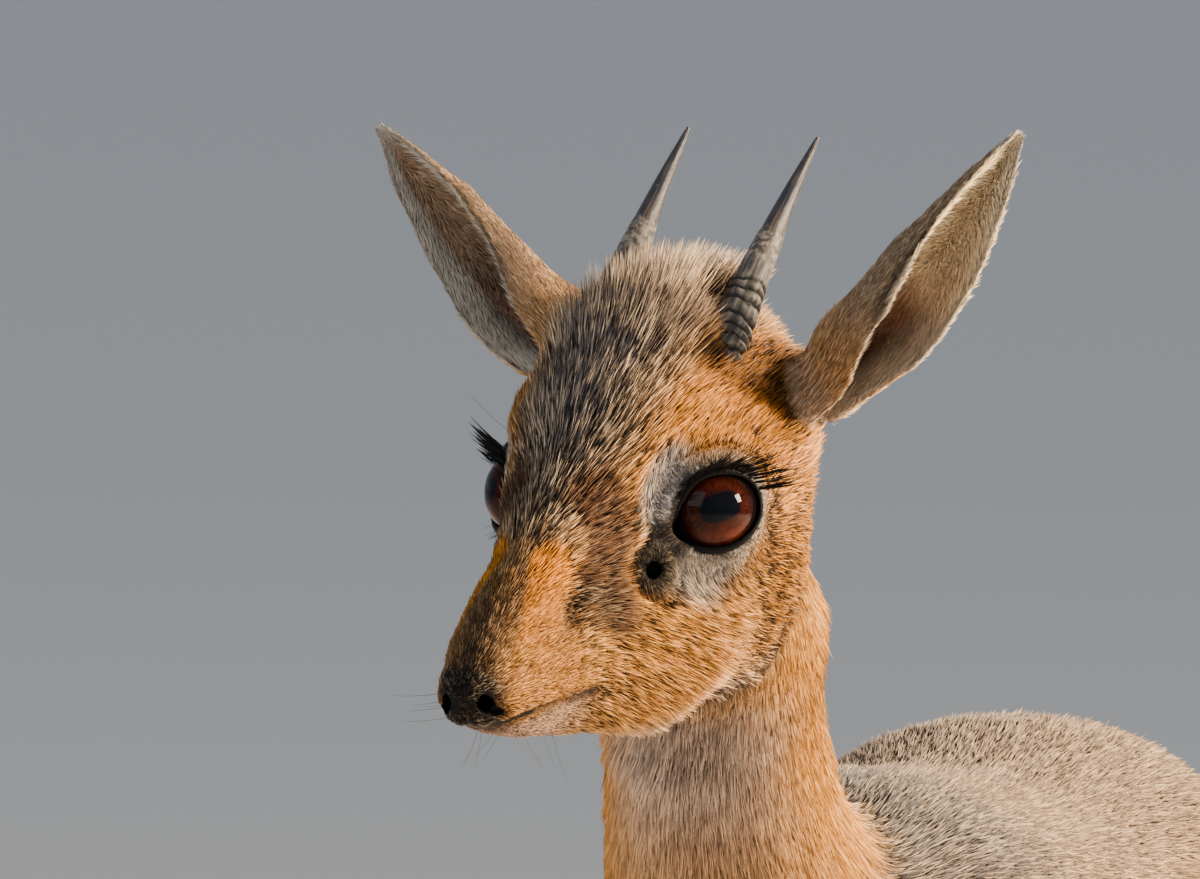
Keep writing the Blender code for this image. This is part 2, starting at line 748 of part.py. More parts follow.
def ear_piece(name, side):
    """A leaf-shaped ear rolled into a cup, its root solid."""
    mirror, root, tip, facing, twist = EARS[side]
    root = head_space(root[0] * mirror, root[1], root[2])
    tip = head_space(tip[0] * mirror, tip[1], tip[2])
    facing = head_space(facing[0] * mirror, facing[1], facing[2])
    along = (tip - root).normalized()
    first = (facing - along * along.dot(facing)).normalized()
    length = (tip - root).length
    bm = bmesh.new()
    rings = []
    for t in (0.0, 0.08, 0.15, 0.22, 0.30, 0.38, 0.46, 0.54, 0.62, 0.70, 0.78, 0.86, 0.93, 1.0):
        radius = float(smooth(EAR_SECTIONS, 1, t))
        reach = math.radians(float(smooth(EAR_SECTIONS, 2, t)))
        wall = float(smooth(EAR_SECTIONS, 3, t))
        turn = math.radians(twist[0] + (twist[1] - twist[0]) * t)
        facing = first * math.cos(turn) + along.cross(first) * math.sin(turn)
        side_way = along.cross(facing)
        centre = root + along * (length * t) + facing * float(smooth(EAR_SECTIONS, 4, t))
        ring = []
        for shell, order in ((radius, range(11)), (radius - wall, range(10, -1, -1))):
            for i in order:
                angle = reach * (i / 5 - 1)
                thin = 0.5 * wall * (abs(i - 5) / 5) ** 6
                away = shell - thin if shell == radius else shell + thin
                ring.append(bm.verts.new(centre - facing * (away * math.cos(angle))
                                         + side_way * (away * math.sin(angle))))
        rings.append(ring)
    for a, b in zip(rings, rings[1:]):
        for i in range(len(a)):
            j = (i + 1) % len(a)
            bm.faces.new((a[i], a[j], b[j], b[i]))
    for ring in (rings[0], rings[-1]):
        for i in range(10):
            bm.faces.new((ring[i], ring[i + 1], ring[20 - i], ring[21 - i]))
    return new_object(name, bm, "ear")


def claw(name, centre, width, length):
    """One of a foot's two claws: flat below, pointed in front, its top to be cut by the foot."""
    bm = bmesh.new()
    rings = []
    for level, size, back in ((0, 0.96, 0), (3, 1.0, 0.2), (8, 0.94, 1.2), (14, 0.84, 2.8),
                              (24, 0.72, 5.5)):
        ring = []
        for i in range(12):
            angle = 2 * math.pi * i / 12
            ahead = math.cos(angle)
            taper = 1 - 0.42 * max(0.0, ahead) ** 2
            x = 0.5 * width * math.sin(angle) * taper * (size if i > 6 else 1.0)
            y = -0.5 * length * ahead * size + back
            ring.append(bm.verts.new(centre + Vector((x, y, level))))
        rings.append(ring)
    bridge(bm, rings)
    return new_object(name, bm, "hoof")


def foot_pieces(leg_name, leg, foot, plane_normal):
    """The two claws of a foot, cut off just under the leg's end."""
    claws = []
    for side, label in ((1, "a"), (-1, "b")):
        x = foot.x + side * (0.5 * HOOF_WIDTH + 0.4)
        made = claw("claw", Vector((x, foot.y + 1.5, 0)), HOOF_WIDTH * 0.94, HOOF_LENGTH)
        if side < 0:
            made.data.transform(Matrix.Translation((x * MM, 0, 0)) @ Matrix.Scale(-1, 4, (1, 0, 0))
                                @ Matrix.Translation((-x * MM, 0, 0)))
            made.data.flip_normals()
        point = foot + plane_normal * GAP
        claws.append(half_space_piece(made, f"{leg_name}_hoof_{label}", [(point, -plane_normal)]))
        bpy.data.objects.remove(made)
    return claws


def body_pieces(body):
    """The fused body parted by thin cuts into neck, torso, legs and hooves."""
    neck_axis = Vector((-0.16, -0.60, 0.78)).normalized()
    neck_at = Vector((-9, -135, 349))
    hind_axis = Vector((0, -0.6, 1)).normalized()
    hind_at = Vector((0, 62, 233))
    fore_at = Vector((0, 0, 232))
    up = Vector((0, 0, 1))
    half = GAP / 2
    neck = half_space_piece(body, "neck", [(neck_at + neck_axis * half, -neck_axis)])
    pieces = [half_space_piece(body, "torso", [
        (neck_at - neck_axis * half, neck_axis), (fore_at + up * half, -up),
        (hind_at + hind_axis * half, -hind_axis)])]
    for side, mirror in (("left", 1), ("right", -1)):
        outer = Vector((-mirror, 0, 0))
        for kind, table, knee, stride in (("fore", FORELEG, 125, FORE_STRIDE[mirror]),
                                          ("hind", HINDLEG, 131, HIND_STRIDE[mirror])):
            if kind == "fore":
                own = [(Vector(), outer), (Vector(), Vector((0, 1, 0)))]
                top = (fore_at - up * half, up)
                foot = Vector((28 * mirror, -123 + stride, 14.5))
            else:
                own = [(Vector(), outer), (Vector(), Vector((0, -1, 0)))]
                top = (hind_at - hind_axis * half, hind_axis)
                foot = Vector((31 * mirror, 148 + stride, 14.5))
            name = f"{kind}leg_{side}"
            middle = Vector((0, 0, knee))
            pieces.append(half_space_piece(body, f"{name}_upper", own + [
                top, (middle + up * half, -up)]))
            sole = Vector((0, -0.2, -1)).normalized()
            pieces.append(half_space_piece(body, f"{name}_lower", own + [
                (middle - up * half, up), (foot, sole)]))
            pieces += foot_pieces(name, pieces[-1], foot, sole)
    bpy.data.objects.remove(body)
    return neck, pieces


def empty(name, parent=None):
    """A pivot that other objects hang from."""
    made = bpy.data.objects.new(name, None)
    made.parent = parent
    bpy.context.collection.objects.link(made)
    return made


def settle(animal, objects):
    """Moves the animal so that the middle of its box, at floor level, is on the origin."""
    bpy.context.view_layer.update()
    spots = np.array([tuple(each.matrix_world @ v.co)
                      for each in objects for v in each.data.vertices])
    low, high = spots.min(0), spots.max(0)
    animal.location = (-(low[0] + high[0]) / 2, -(low[1] + high[1]) / 2, -low[2])
    bpy.context.view_layer.update()


def main():
    for each in list(bpy.data.objects):
        bpy.data.objects.remove(each)
    body = body_skin()
    thin_out(body, BODY_TRIANGLES)
    neck, pieces = body_pieces(body)
    head = head_piece()
    organs = [head]
    for side, mirror in (("left", 1), ("right", -1)):
        organs.append(eye_piece(f"eye_{side}", mirror))
        horn = horn_piece(f"horn_{side}", mirror)
        ear = ear_piece(f"ear_{side}", side)
        for each in (horn, ear):
            combine(each, [swollen(head)], "DIFFERENCE")
        organs += [horn, ear]
    socket = swollen(head)
    socket.data.transform(head_matrix())
    combine(neck, [socket], "DIFFERENCE")
    tail = limb("tail", TAIL, 7, 12)
    combine(tail, [swollen(pieces[0])], "DIFFERENCE")
    animal = empty("animal")
    head_pivot = empty("head_pivot", animal)
    head_pivot.location = HEAD_PLACE * MM
    head_pivot.rotation_euler = head_matrix().to_euler()
    for each in organs:
        each.parent = head_pivot
    for each in [neck, tail] + pieces:
        each.parent = animal
    settle(animal, organs + [neck, tail] + pieces)


if __name__ == "__main__":
    main()
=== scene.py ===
"""The dressed dik-dik: one skin with its coat, and the hard parts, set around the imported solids.

The animal faces -Y and its own left is +X. Sizes are in millimetres and meshes in metres. The
head's parts are shaped in a frame of their own, x left, y backwards and z up, before they are
posed. The skin lies inside the solids by the depth of the coat, and the coat fills that depth.
"""
import sys
import json
import logging
import math
from dataclasses import dataclass, field
from enum import Enum, IntEnum

import bmesh
import bpy
import numpy as np
from mathutils import Matrix, Vector
from mathutils.bvhtree import BVHTree
from mathutils.kdtree import KDTree

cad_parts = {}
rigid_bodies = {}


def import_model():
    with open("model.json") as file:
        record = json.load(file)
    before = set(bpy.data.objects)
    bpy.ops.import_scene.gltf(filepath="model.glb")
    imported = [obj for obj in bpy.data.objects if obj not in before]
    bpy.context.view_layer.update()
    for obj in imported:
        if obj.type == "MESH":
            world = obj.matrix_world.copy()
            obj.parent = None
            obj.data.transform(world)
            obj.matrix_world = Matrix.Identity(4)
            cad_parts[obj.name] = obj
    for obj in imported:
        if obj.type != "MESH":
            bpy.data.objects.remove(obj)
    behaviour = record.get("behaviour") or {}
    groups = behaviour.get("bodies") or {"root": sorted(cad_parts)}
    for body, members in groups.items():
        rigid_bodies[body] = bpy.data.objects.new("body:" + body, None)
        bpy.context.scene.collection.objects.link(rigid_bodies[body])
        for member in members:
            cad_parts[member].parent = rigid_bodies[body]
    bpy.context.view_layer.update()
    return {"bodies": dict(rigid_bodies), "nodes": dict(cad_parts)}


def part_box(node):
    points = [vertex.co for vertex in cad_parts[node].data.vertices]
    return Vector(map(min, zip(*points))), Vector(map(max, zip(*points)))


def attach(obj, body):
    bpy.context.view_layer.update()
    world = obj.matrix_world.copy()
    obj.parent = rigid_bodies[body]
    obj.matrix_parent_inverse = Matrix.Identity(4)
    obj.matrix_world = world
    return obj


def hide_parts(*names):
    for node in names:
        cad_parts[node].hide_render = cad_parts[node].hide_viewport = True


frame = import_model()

MM = 0.001
BOTH_SIDES = (1, -1)
Array = np.ndarray
Table = tuple[tuple[float, ...], ...]
Pair = tuple[float, float]
Triple = tuple[float, float, float]
Output = tuple[bpy.types.Node, str]
log = logging.getLogger("dik_dik")


class Part(IntEnum):
    """The part of the animal that a point of the skin belongs to."""
    TRUNK = 0
    NECK = 1
    FORELEG = 2
    HINDLEG = 3
    TAIL = 4
    HEAD = 5
    EAR = 6


class Zone(IntEnum):
    """The stretches of skin whose tufts make one coat piece each."""
    FACE_LEFT = 0
    FACE_RIGHT = 1
    NAPE_LEFT = 2
    NAPE_RIGHT = 3
    NECK_LEFT = 4
    NECK_RIGHT = 5
    SIDE_LEFT = 6
    SIDE_RIGHT = 7
    FORELEGS = 8
    HINDLEGS = 9
    EAR_LEFT = 10
    EAR_RIGHT = 11
    BACK = 12
    CREST = 13


class Roots(Enum):
    """Where a tuft tree sets its tufts: scattered over faces, or one on each loose point."""
    FACES = "faces"
    POINTS = "points"


class Fur(Enum):
    """Tufts of one kind: length, width, how many on a square millimetre, lift in radians."""
    PLAIN = (9.0, 0.60, 0.78, 0.24)
    UPPER = (7.0, 0.42, 1.28, 0.28)
    NECK = (6.5, 0.36, 2.7, 0.24)
    THIGH = (8.0, 0.64, 0.66, 0.20)
    LEG = (5.2, 0.62, 0.70, 0.18)
    SHIN = (3.2, 0.44, 1.3, 0.15)
    TAIL = (9.5, 0.60, 1.5, 0.26)
    HEAD = (4.9, 0.36, 4.0, 0.27)
    NAPE = (6.5, 0.36, 2.8, 0.26)
    JAW = (7.0, 0.38, 3.4, 0.36)
    REAR_CHEEK = (7.0, 0.37, 3.25, 0.13)
    MUZZLE = (2.3, 0.24, 7.5, 0.24)
    CROWN = (7.5, 0.30, 4.6, 0.40)
    EYE_RING = (2.5, 0.21, 8.8, 0.20)
    LID = (1.3, 0.18, 6.0, 0.20)
    GLAND = (1.3, 0.20, 8.0, 0.25)
    TEAR = (1.2, 0.20, 5.0, 0.20)
    CHIN = (1.6, 0.17, 6.0, 0.30)
    NOSE = (1.2, 0.16, 9.0, 0.20)
    LIP = (1.9, 0.17, 8.0, 0.16)
    MOUTH = (0.8, 0.15, 5.0, 0.15)
    EAR_BACK = (2.4, 0.27, 4.6, 0.18)
    EAR_ROOT = (4.6, 0.36, 3.2, 0.26)
    EAR_EDGE = (1.6, 0.20, 6.0, 0.20)
    EAR_INSIDE = (2.4, 0.20, 1.8, 0.30)
    EAR_TUFTS = (3.4, 0.22, 4.0, 0.75)
    EAR_FRINGE = (3.4, 0.19, 6.0, 0.55)
    EAR_CANAL = (3.0, 0.30, 0.8, 0.40)
    EAR_TIP = (1.5, 0.20, 7.0, 0.20)


def colour(red: float, green: float, blue: float) -> Array:
    """A linear colour from the 0 to 255 values that a screen shows."""
    part = np.array((red, green, blue), float) / 255
    return np.where(part > 0.04045, ((part + 0.055) / 1.055) ** 2.4, part / 12.92)


def solid(tint: Triple) -> tuple[float, ...]:
    """A tint from 0 to 255 as an opaque linear colour for a socket."""
    return (*colour(*tint), 1)


def smooth(table: Table, column: int, at: float | Array) -> Array:
    """Reads one column of a table of stations by a monotone cubic.

    Args:
        table: rows that start with the station's place.
        column: the column to read.
        at: the places to read it at.

    Returns:
        The value at each place.
    """
    t = np.array([row[0] for row in table], float)
    v = np.array([row[column] for row in table], float)
    slope = np.diff(v) / np.diff(t)
    tangent = np.zeros_like(v)
    tangent[0], tangent[-1] = slope[0], slope[-1]
    for i in range(1, len(v) - 1):
        if slope[i - 1] * slope[i] > 0:
            tangent[i] = 2 * slope[i - 1] * slope[i] / (slope[i - 1] + slope[i])
    at = np.clip(np.asarray(at, float), t[0], t[-1])
    i = np.clip(np.searchsorted(t, at, side="right") - 1, 0, len(t) - 2)
    h = t[i + 1] - t[i]
    s = (at - t[i]) / h
    return ((1 + 2 * s) * (1 - s) ** 2 * v[i] + s * (1 - s) ** 2 * h * tangent[i]
            + s * s * (3 - 2 * s) * v[i + 1] + s * s * (s - 1) * h * tangent[i + 1])


def ease(value: float | Array, low: float, high: float) -> Array:
    """0 at low and 1 at high, or the other way round, with smooth ends."""
    t = np.clip((np.asarray(value, float) - low) / (high - low), 0, 1)
    return t * t * (3 - 2 * t)


def bell(distance: float | Array, reach: float) -> Array:
    """1 at no distance, falling smoothly to nearly 0 at twice the reach."""
    return np.exp(-(np.asarray(distance, float) / reach) ** 2)


def unit(vectors: Array) -> Array:
    """The vectors at length 1."""
    return vectors / np.maximum(np.linalg.norm(vectors, axis=-1, keepdims=True), 1e-9)


def mix(a: Array, b: Array, weight: Array) -> Array:
    """Rows of a turned towards b by a weight for each row."""
    weight = np.asarray(weight, float)[..., None]
    return a * (1 - weight) + b * weight


def local(left: float, forward: float, up: float) -> Array:
    """A point of the head's own frame."""
    return np.array((left, -forward, up), float)


def mirrored(places: Table, mirror: int) -> Array:
    """Places of the head's left half, as points of one of its halves."""
    return np.array([local(left * mirror, forward, up) for left, forward, up in places])


def on_side(place: Triple, mirror: int) -> Array:
    """A place of the head's left half, as a point of one of its halves."""
    return local(place[0] * mirror, place[1], place[2])


def side_name(mirror: int) -> str:
    """The side that a mirror factor stands for."""
    return "left" if mirror > 0 else "right"


def circle(count: int) -> Array:
    """Angles spread evenly round a circle."""
    return np.linspace(0, 2 * math.pi, count, endpoint=False)


def squared(wave: Array, power: float | Array) -> Array:
    """A sine or cosine, bent so that its circle becomes a rounded square above power 2."""
    return np.sign(wave) * np.abs(wave) ** (2 / power)


def segment_distance(points: Array, path: Array) -> Array:
    """Distance from each point to a polyline.

    Args:
        points: the points, one a row.
        path: the polyline's corners.

    Returns:
        The smallest distance to any of its segments.
    """
    best = np.full(len(points), 1e9)
    for a, b in zip(path, path[1:]):
        line = b - a
        t = np.clip(((points - a) @ line) / max(line @ line, 1e-9), 0, 1)
        best = np.minimum(best, np.linalg.norm(points - a - t[:, None] * line, axis=1))
    return best


def path_distance(points: Array, path: Table, mirror: int) -> Array:
    """Distance from each of the head's points to a path on one of its halves."""
    return segment_distance(points, mirrored(path, mirror))


def place_distance(points: Array, place: Triple, mirror: int) -> Array:
    """Distance from each of the head's points to a place on one of its halves."""
    return np.linalg.norm(points - on_side(place, mirror), axis=1)


# Trunk stations along the spine: y, top, bottom, half width, level of the widest part
TRUNK = (
    (-174, 318, 290, 8, 303),
    (-168, 334, 270, 24, 302),
    (-152, 354, 252, 38, 304),
    (-125, 374, 242, 49, 312),
    (-92, 382, 238, 57, 320),
    (-55, 381, 236, 61, 316),
    (-15, 377, 237, 64, 308),
    (30, 375, 241, 65, 309),
    (70, 378, 250, 61, 320),
    (105, 380, 264, 60, 328),
    (135, 378, 279, 57, 330),
    (158, 369, 294, 48, 327),
    (176, 355, 304, 36, 326),
    (187, 340, 313, 21, 325),
    (190, 332, 320, 8, 326),
)

# Stations down a leg: place, x, y, z, half across, half fore and aft
FORELEG = (
    (0, 34, -86, 346, 6, 14),
    (40, 43, -104, 318, 13, 29),
    (75, 42, -124, 290, 14, 27),
    (115, 37, -112, 255, 13.5, 22),
    (145, 33, -105, 225, 11, 15.5),
    (190, 30, -108, 180, 8.6, 10.5),
    (232, 28.5, -112, 140, 7.0, 7.6),
    (248, 28, -113, 125, 7.8, 8.2),
    (264, 28, -112, 110, 6.0, 6.4),
    (295, 28, -112, 80, 5.0, 5.6),
    (324, 28, -112, 52, 5.2, 5.8),
    (338, 28, -113, 38, 6.8, 7.6),
    (350, 28, -117, 27, 6.4, 6.8),
    (366, 28, -123, 13, 9.2, 9.4),
)
HINDLEG = (
    (0, 30, 124, 344, 12, 40),
    (44, 38, 119, 304, 25, 57),
    (86, 39, 109, 264, 23, 51),
    (122, 37, 115, 230, 17, 35),
    (166, 34, 136, 190, 11, 19),
    (202, 32, 156, 158, 8.0, 11.5),
    (230, 31, 168, 132, 8.0, 12.0),
    (250, 31, 167, 113, 6.4, 8.2),
    (284, 31, 163, 80, 5.6, 6.6),
    (312, 31, 160, 52, 5.6, 6.4),
    (326, 31, 158, 38, 7.2, 8.2),
    (338, 31, 154, 27, 6.6, 7.2),
    (354, 31, 148, 13, 9.3, 9.6),
)

# How far back each foot stands from its table's place, by side
FORE_STRIDE = {1: -8.0, -1: 4.0}
HIND_STRIDE = {1: 12.0, -1: -3.0}

# Tail and neck: stations as for a leg
TAIL = (
    (0, 0, 164, 350, 8, 8),
    (17, 0, 181, 349, 8.5, 8),
    (32, 0, 192, 339, 8, 7.5),
    (48, 0, 196, 323, 6.8, 6.2),
    (62, 0, 197, 309, 4.4, 4.0),
    (70, 0, 197, 301, 1.4, 1.2),
)
NECK = (
    (0, -1, -98, 312, 36, 54),
    (30, -4, -118, 332, 36, 47),
    (58, -10, -138, 352, 32, 39),
    (85, -13, -151, 375, 27.5, 34),
    (112, -13, -163, 398, 25.4, 31),
    (140, -9, -176, 426, 25, 26.5),
    (157, -8, -184, 440, 24, 23.5),
    (173, -7, -192, 453, 19, 19),
)

# Stations along the head, forwards from between the eyes: place, top, bottom, half width, level
HEAD = (
    (-58, 15, -6, 7, 5),
    (-54, 24, -20, 15, 4),
    (-46, 33, -35, 22, 2),
    (-34, 39, -45, 27.5, -1),
    (-20, 41.5, -50, 30.5, -4),
    (-4, 40, -52, 32, -6),
    (8, 35, -51, 30, -7),
    (20, 26.5, -48, 25, -10),
    (32, 17, -44, 20, -13),
    (45, 7.5, -39.5, 16, -17),
    (57, -0.5, -35, 12.4, -19),
    (67, -7, -30.5, 10.2, -20),
    (73.5, -12, -26.5, 7.8, -19.5),
    (77, -16, -23.2, 4.2, -19.5),
)

# Swellings and hollows of one half of the head: place (left, forward, up), reach, shift
SWELLINGS = (
    ((27, 4, 17), 11, (0.8, 0.6, 1.6)),
    ((25, -16, -24), 18, (2.5, 0, -0.5)),
    ((22, 28, -6), 9, (-2.6, -0.6, 0)),
    ((18, 34, 4), 8, (-1.2, 0, -0.8)),
    ((9, 63, -10), 10, (1.6, 0.4, 0.4)),
    ((16, 46, -6), 8, (-1.6, 0, -0.4)),
    ((13, 52, -22), 7, (1.2, 0, 0)),
    ((12, 47, -35), 8, (-1.6, 0, 0.4)),
    ((18.6, -21, 33), 8, (0.4, -0.3, 1.8)),
    ((27, -38, 14), 13, (3.0, -1.0, 1.5)),
    ((8.5, 53, -3.5), 7, (0.8, 0.4, 0.9)),
    ((14.2, 42, -7), 6.5, (-1.3, 0, -0.2)),
)

# Sections of an ear from root to tip: place, radius, half angle of the wall, wall, shift
EAR_SECTIONS = (
    (0.0, 8.4, 168, 6.0, 0.0),
    (0.15, 10.7, 160, 3.4, 1.0),
    (0.35, 12.4, 136, 1.9, 3.2),
    (0.55, 11.0, 118, 1.5, 4.0),
    (0.75, 7.4, 108, 1.3, 3.0),
    (0.90, 3.6, 100, 1.1, 1.2),
    (1.0, 0.6, 84, 0.4, 0.0),
)

# The mouth's line on the left half, from its front to its corner: left, forward, up
MOUTH_PATH = ((3.0, 73.0, -25.5), (8.5, 68.0, -25.0), (11.5, 61.0, -25.2), (13.0, 53.0, -26.4),
              (14.1, 44.6, -27.6))


def groove_distance(points: Array, mouth: Array) -> Array:
    """Distance of the head's points from the mouth's line, or from the bottom of its groove."""
    bottom = mouth * (0.84, 0.975, 1.0)
    return np.minimum(segment_distance(points, mouth), segment_distance(points, bottom))


@dataclass(frozen=True)
class HeadPose:
    """Where the head is, between the eyes, and how it is turned, nodded and tilted."""
    place: Triple = (-20.0, -222.0, 453.0)
    turn: float = math.radians(-20.2)
    nod: float = math.radians(17.6)
    tilt: float = math.radians(2.2)

    def rotation(self) -> Array:
        """The head's turn as a 3 by 3 array."""
        made = (Matrix.Rotation(self.turn, 3, "Z") @ Matrix.Rotation(self.nod, 3, "X")
                @ Matrix.Rotation(self.tilt, 3, "Y"))
        return np.array(made, float)

    def to_animal(self, points: Array) -> Array:
        """Points of the head's frame in the animal's."""
        return points @ self.rotation().T + np.array(self.place)

    def to_head(self, points: Array) -> Array:
        """Points of the animal's frame in the head's."""
        return (points - np.array(self.place)) @ self.rotation()


@dataclass(frozen=True)
class EyePlan:
    """The eyeballs and the openings of their lids."""
    place: Triple = (21.0, 1.5, 0.0)
    radius: float = 12.5
    gaze: Triple = (0.735, 0.640, 0.225)
    lid_depth: float = 1.5
    half_width: float = 10.6
    half_height: float = 8.8
    slant: float = math.radians(5)

    def axes(self, mirror: int) -> tuple[Array, Array, Array, Array]:
        """One eye's frame.

        Args:
            mirror: 1 for the left eye and -1 for the right.

        Returns:
            Its centre, the way it looks, and its outward and upward directions.
        """
        centre = on_side(self.place, mirror)
        gaze = unit(on_side(self.gaze, mirror))
        up = unit(np.array((0, 0, 1.0)) - gaze * gaze[2])
        out = np.cross(up, gaze) * mirror
        c, s = math.cos(self.slant), math.sin(self.slant)
        return centre, gaze, out * c + up * s, up * c - out * s

    def outline(self, count: int) -> Array:
        """The opening between the lids, pointed at its inner corner.

        Args:
            count: how many places it has.

        Returns:
            The places, one a row, in millimetres.
        """
        angle = circle(count)
        across, rise = np.cos(angle), np.sin(angle)
        inner = np.maximum(0, -across)
        x = self.half_width * across * (1 + 0.06 * inner)
        y = self.half_height * rise * (1 - 0.34 * inner ** 3) - 1.1 * inner ** 2
        return np.stack([x, y * np.where(rise > 0, 1.0, 0.98)], 1)

    def lid_place(self, points: Array, mirror: int) -> tuple[Array, Array, Array]:
        """Where points lie around one eye's opening.

        Args:
            points: points of the head's frame.
            mirror: 1 for the left eye and -1 for the right.

        Returns:
            How far out each lies, 1 on the rim, its outward and upward shares of that, and a
            large number where it is behind the eye.
        """
        centre, gaze, out, up = self.axes(mirror)
        ray = points - centre
        x, y = ray @ out / self.half_width, ray @ up / self.half_height
        far = np.hypot(x, y) + 8 * ease(ray @ gaze, 2, -6)
        return far, x, y


HEAD_POSE = HeadPose()
EYES = EyePlan()

# Folds round an eye's opening: height, place with 1 on the rim, and reach
UPPER_LID = ((0.45, 1.17, 0.13), (-0.85, 1.46, 0.11), (0.5, 1.75, 0.22))
LOWER_LID = ((0.35, 1.15, 0.12), (-0.45, 1.42, 0.13), (-0.25, 1.75, 0.12))

# Places and paths on the head's left half: left, forward, up
GLAND = (18.7, 22.9, -6.8)
GLAND_PIT = (1.95, 2.2, 2.1)
TEAR_LINE = ((22.4, 15.2, 1.9), (19.7, 20.4, 1.1), (18.4, 23.0, 0.6))
GULLET = ((20.0, -22.0, -38.0), (14.0, -19.0, -49.0), (9.5, -17.0, -58.0))
WHISKER_CREASE = ((7.9, 73.4, -16.9), (9.2, 68.4, -14.7), (10.6, 64.1, -13.7),
                  (11.7, 59.3, -13.3), (12.0, 54.6, -11.6), (10.9, 48.2, -10.6))
LIP_FOLDS = tuple(((14.0, start, -14.0 - 2.4 * k), (15.2, end, -19.5 - 2.6 * k))
                  for k, (start, end) in enumerate(((59, 47), (55, 44), (50, 41))))
LIP_CUSHION = ((9.8, 68.0, -20.5), (12.6, 58.0, -19.5))
FACE_HOLLOW = ((12.0, 46.0, -8.5), (16.5, 37.5, -5.5))
MIDFACE_PATH = ((9.5, 31, 11), (12.5, 32.5, 3), (12.4, 37, -3), (14.2, 37.5, -11))
# The next path runs along the plane of the nasal bridge, which is painted bright orange as painted
# sunlight.
SUNLIT_BRIDGE_PATH = ((6.5, 46.5, 1.5), (8.6, 52.0, -3.0), (9.8, 59.0, -9.5))
# The next path runs along the hollow behind the nasal swelling, which is painted dark with its
# shade over its darker hair.
HOLLOW_SHADE_PATH = ((11.4, 48.0, -10.5), (12.0, 42.0, -6.5), (13.4, 38.5, -9.0))
EYE_TO_GLAND = (TEAR_LINE[0], (21.9, 17.1, -2.8), (20.6, 20.6, -6.0))
NOSTRIL = (4.8, 75.2, -19.6)
NOSTRIL_TO_LIP = (NOSTRIL, (0.0, 74.5, -23.8))

# The ellipsoids that open a nostril: place from its middle, radii, and roll
NOSTRIL_HOLES = (((0.0, 0.0, 0.0), (1.8, 3.0, 2.6), 0.45),
                 ((-1.4, -2.2, 0.6), (2.0, 3.0, 2.6), 0.2),
                 ((1.5, -1.0, -2.1), (2.0, 2.6, 1.3), -0.5))


def settle_shift() -> Array:
    """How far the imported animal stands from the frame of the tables, in millimetres.

    Returns:
        The shift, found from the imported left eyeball, whose shape is made again here.
    """
    bm = bmesh.new()
    bmesh.ops.create_uvsphere(bm, u_segments=16, v_segments=12, radius=EYES.radius)
    points = np.array([tuple(v.co) for v in bm.verts])
    bm.free()
    ball = EyeBall(1).bulged(points)
    low = np.array(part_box("eye_left")[0]) / MM
    return low - HEAD_POSE.to_animal(ball).min(0)


@dataclass
class Shell:
    """A closed surface as arrays, in millimetres, with what the coat needs to know of it."""
    points: Array
    faces: list[tuple[int, ...]]
    part: Part = Part.TRUNK
    lie: Array | None = None
    place: Array | None = None
    across: Array | None = None
    inner: Array | None = None

    def facing_out(self) -> "Shell":
        """Turns the shell's faces outwards.

        Returns:
            The shell itself.
        """
        total = 0.0
        for face in self.faces:
            a, b, c = (self.points[i] for i in face[:3])
            total += float(np.dot(a, np.cross(b, c)))
            if len(face) == 4:
                total += float(np.dot(a, np.cross(c, self.points[face[3]])))
        if total < 0:
            self.faces = [face[::-1] for face in self.faces]
        return self


def grid_faces(count: int, sides: int, start: int = 0) -> list[tuple[int, ...]]:
    """Quads between rings of points that follow one another.

    Args:
        count: how many rings there are.
        sides: how many points each has.
        start: the index of the first point.

    Returns:
        The faces as tuples of indices.
    """
    index = np.arange(count * sides).reshape(count, sides) + start
    a, b = index[:-1], index[1:]
    quads = np.stack([a, np.roll(a, -1, 1), np.roll(b, -1, 1), b], -1).reshape(-1, 4)
    return [tuple(int(i) for i in quad) for quad in quads]


def rings_round(path: Array, across: Array, wide: Array, over: Array, high: Array) -> Array:
    """Rings of points round the places of a path.

    Args:
        path: the rings' centres.
        across: the first direction, one for each ring or for all.
        wide: how far each point lies along it, one row a ring.
        over: the second direction.
        high: how far each point lies along that.

    Returns:
        The points as (ring, side, xyz).
    """
    across, over = np.atleast_2d(across)[:, None], np.atleast_2d(over)[:, None]
    return path[:, None] + across * wide[..., None] + over * high[..., None]


def lofted(rings: Array, part: Part = Part.TRUNK, lie: Array | None = None,
           place: Array | None = None) -> Shell:
    """A closed tube through rings.

    Args:
        rings: points as (ring, side, xyz).
        part: the part of the animal that it is.
        lie: the way the coat lies at each ring.
        place: how far along the part each ring is.

    Returns:
        The shell, each end closed by a fan.
    """
    count, sides, _ = rings.shape
    points = np.concatenate([rings.reshape(-1, 3), rings[:1].mean(1), rings[-1:].mean(1)])
    faces = grid_faces(count, sides)
    first, last = count * sides, (count - 1) * sides
    for i in range(sides):
        j = (i + 1) % sides
        faces.append((j, i, first))
        faces.append((last + i, last + j, first + 1))
    made = Shell(points, faces, part)
    ring_of = np.concatenate([np.repeat(np.arange(count), sides), [0, count - 1]])
    made.lie = (lie if lie is not None else np.zeros((count, 3)))[ring_of]
    made.place = (place if place is not None else np.linspace(0, 1, count))[ring_of]
    return made.facing_out()


def work_object(name: str, shell: Shell) -> bpy.types.Object:
    """A plain object in the tables' frame, for remeshing and Booleans.

    Args:
        name: the object's name.
        shell: its surface.

    Returns:
        The object.
    """
    mesh = bpy.data.meshes.new(name)
    mesh.from_pydata(shell.points * MM, [], shell.faces)
    made = bpy.data.objects.new(name, mesh)
    bpy.context.scene.collection.objects.link(made)
    return made


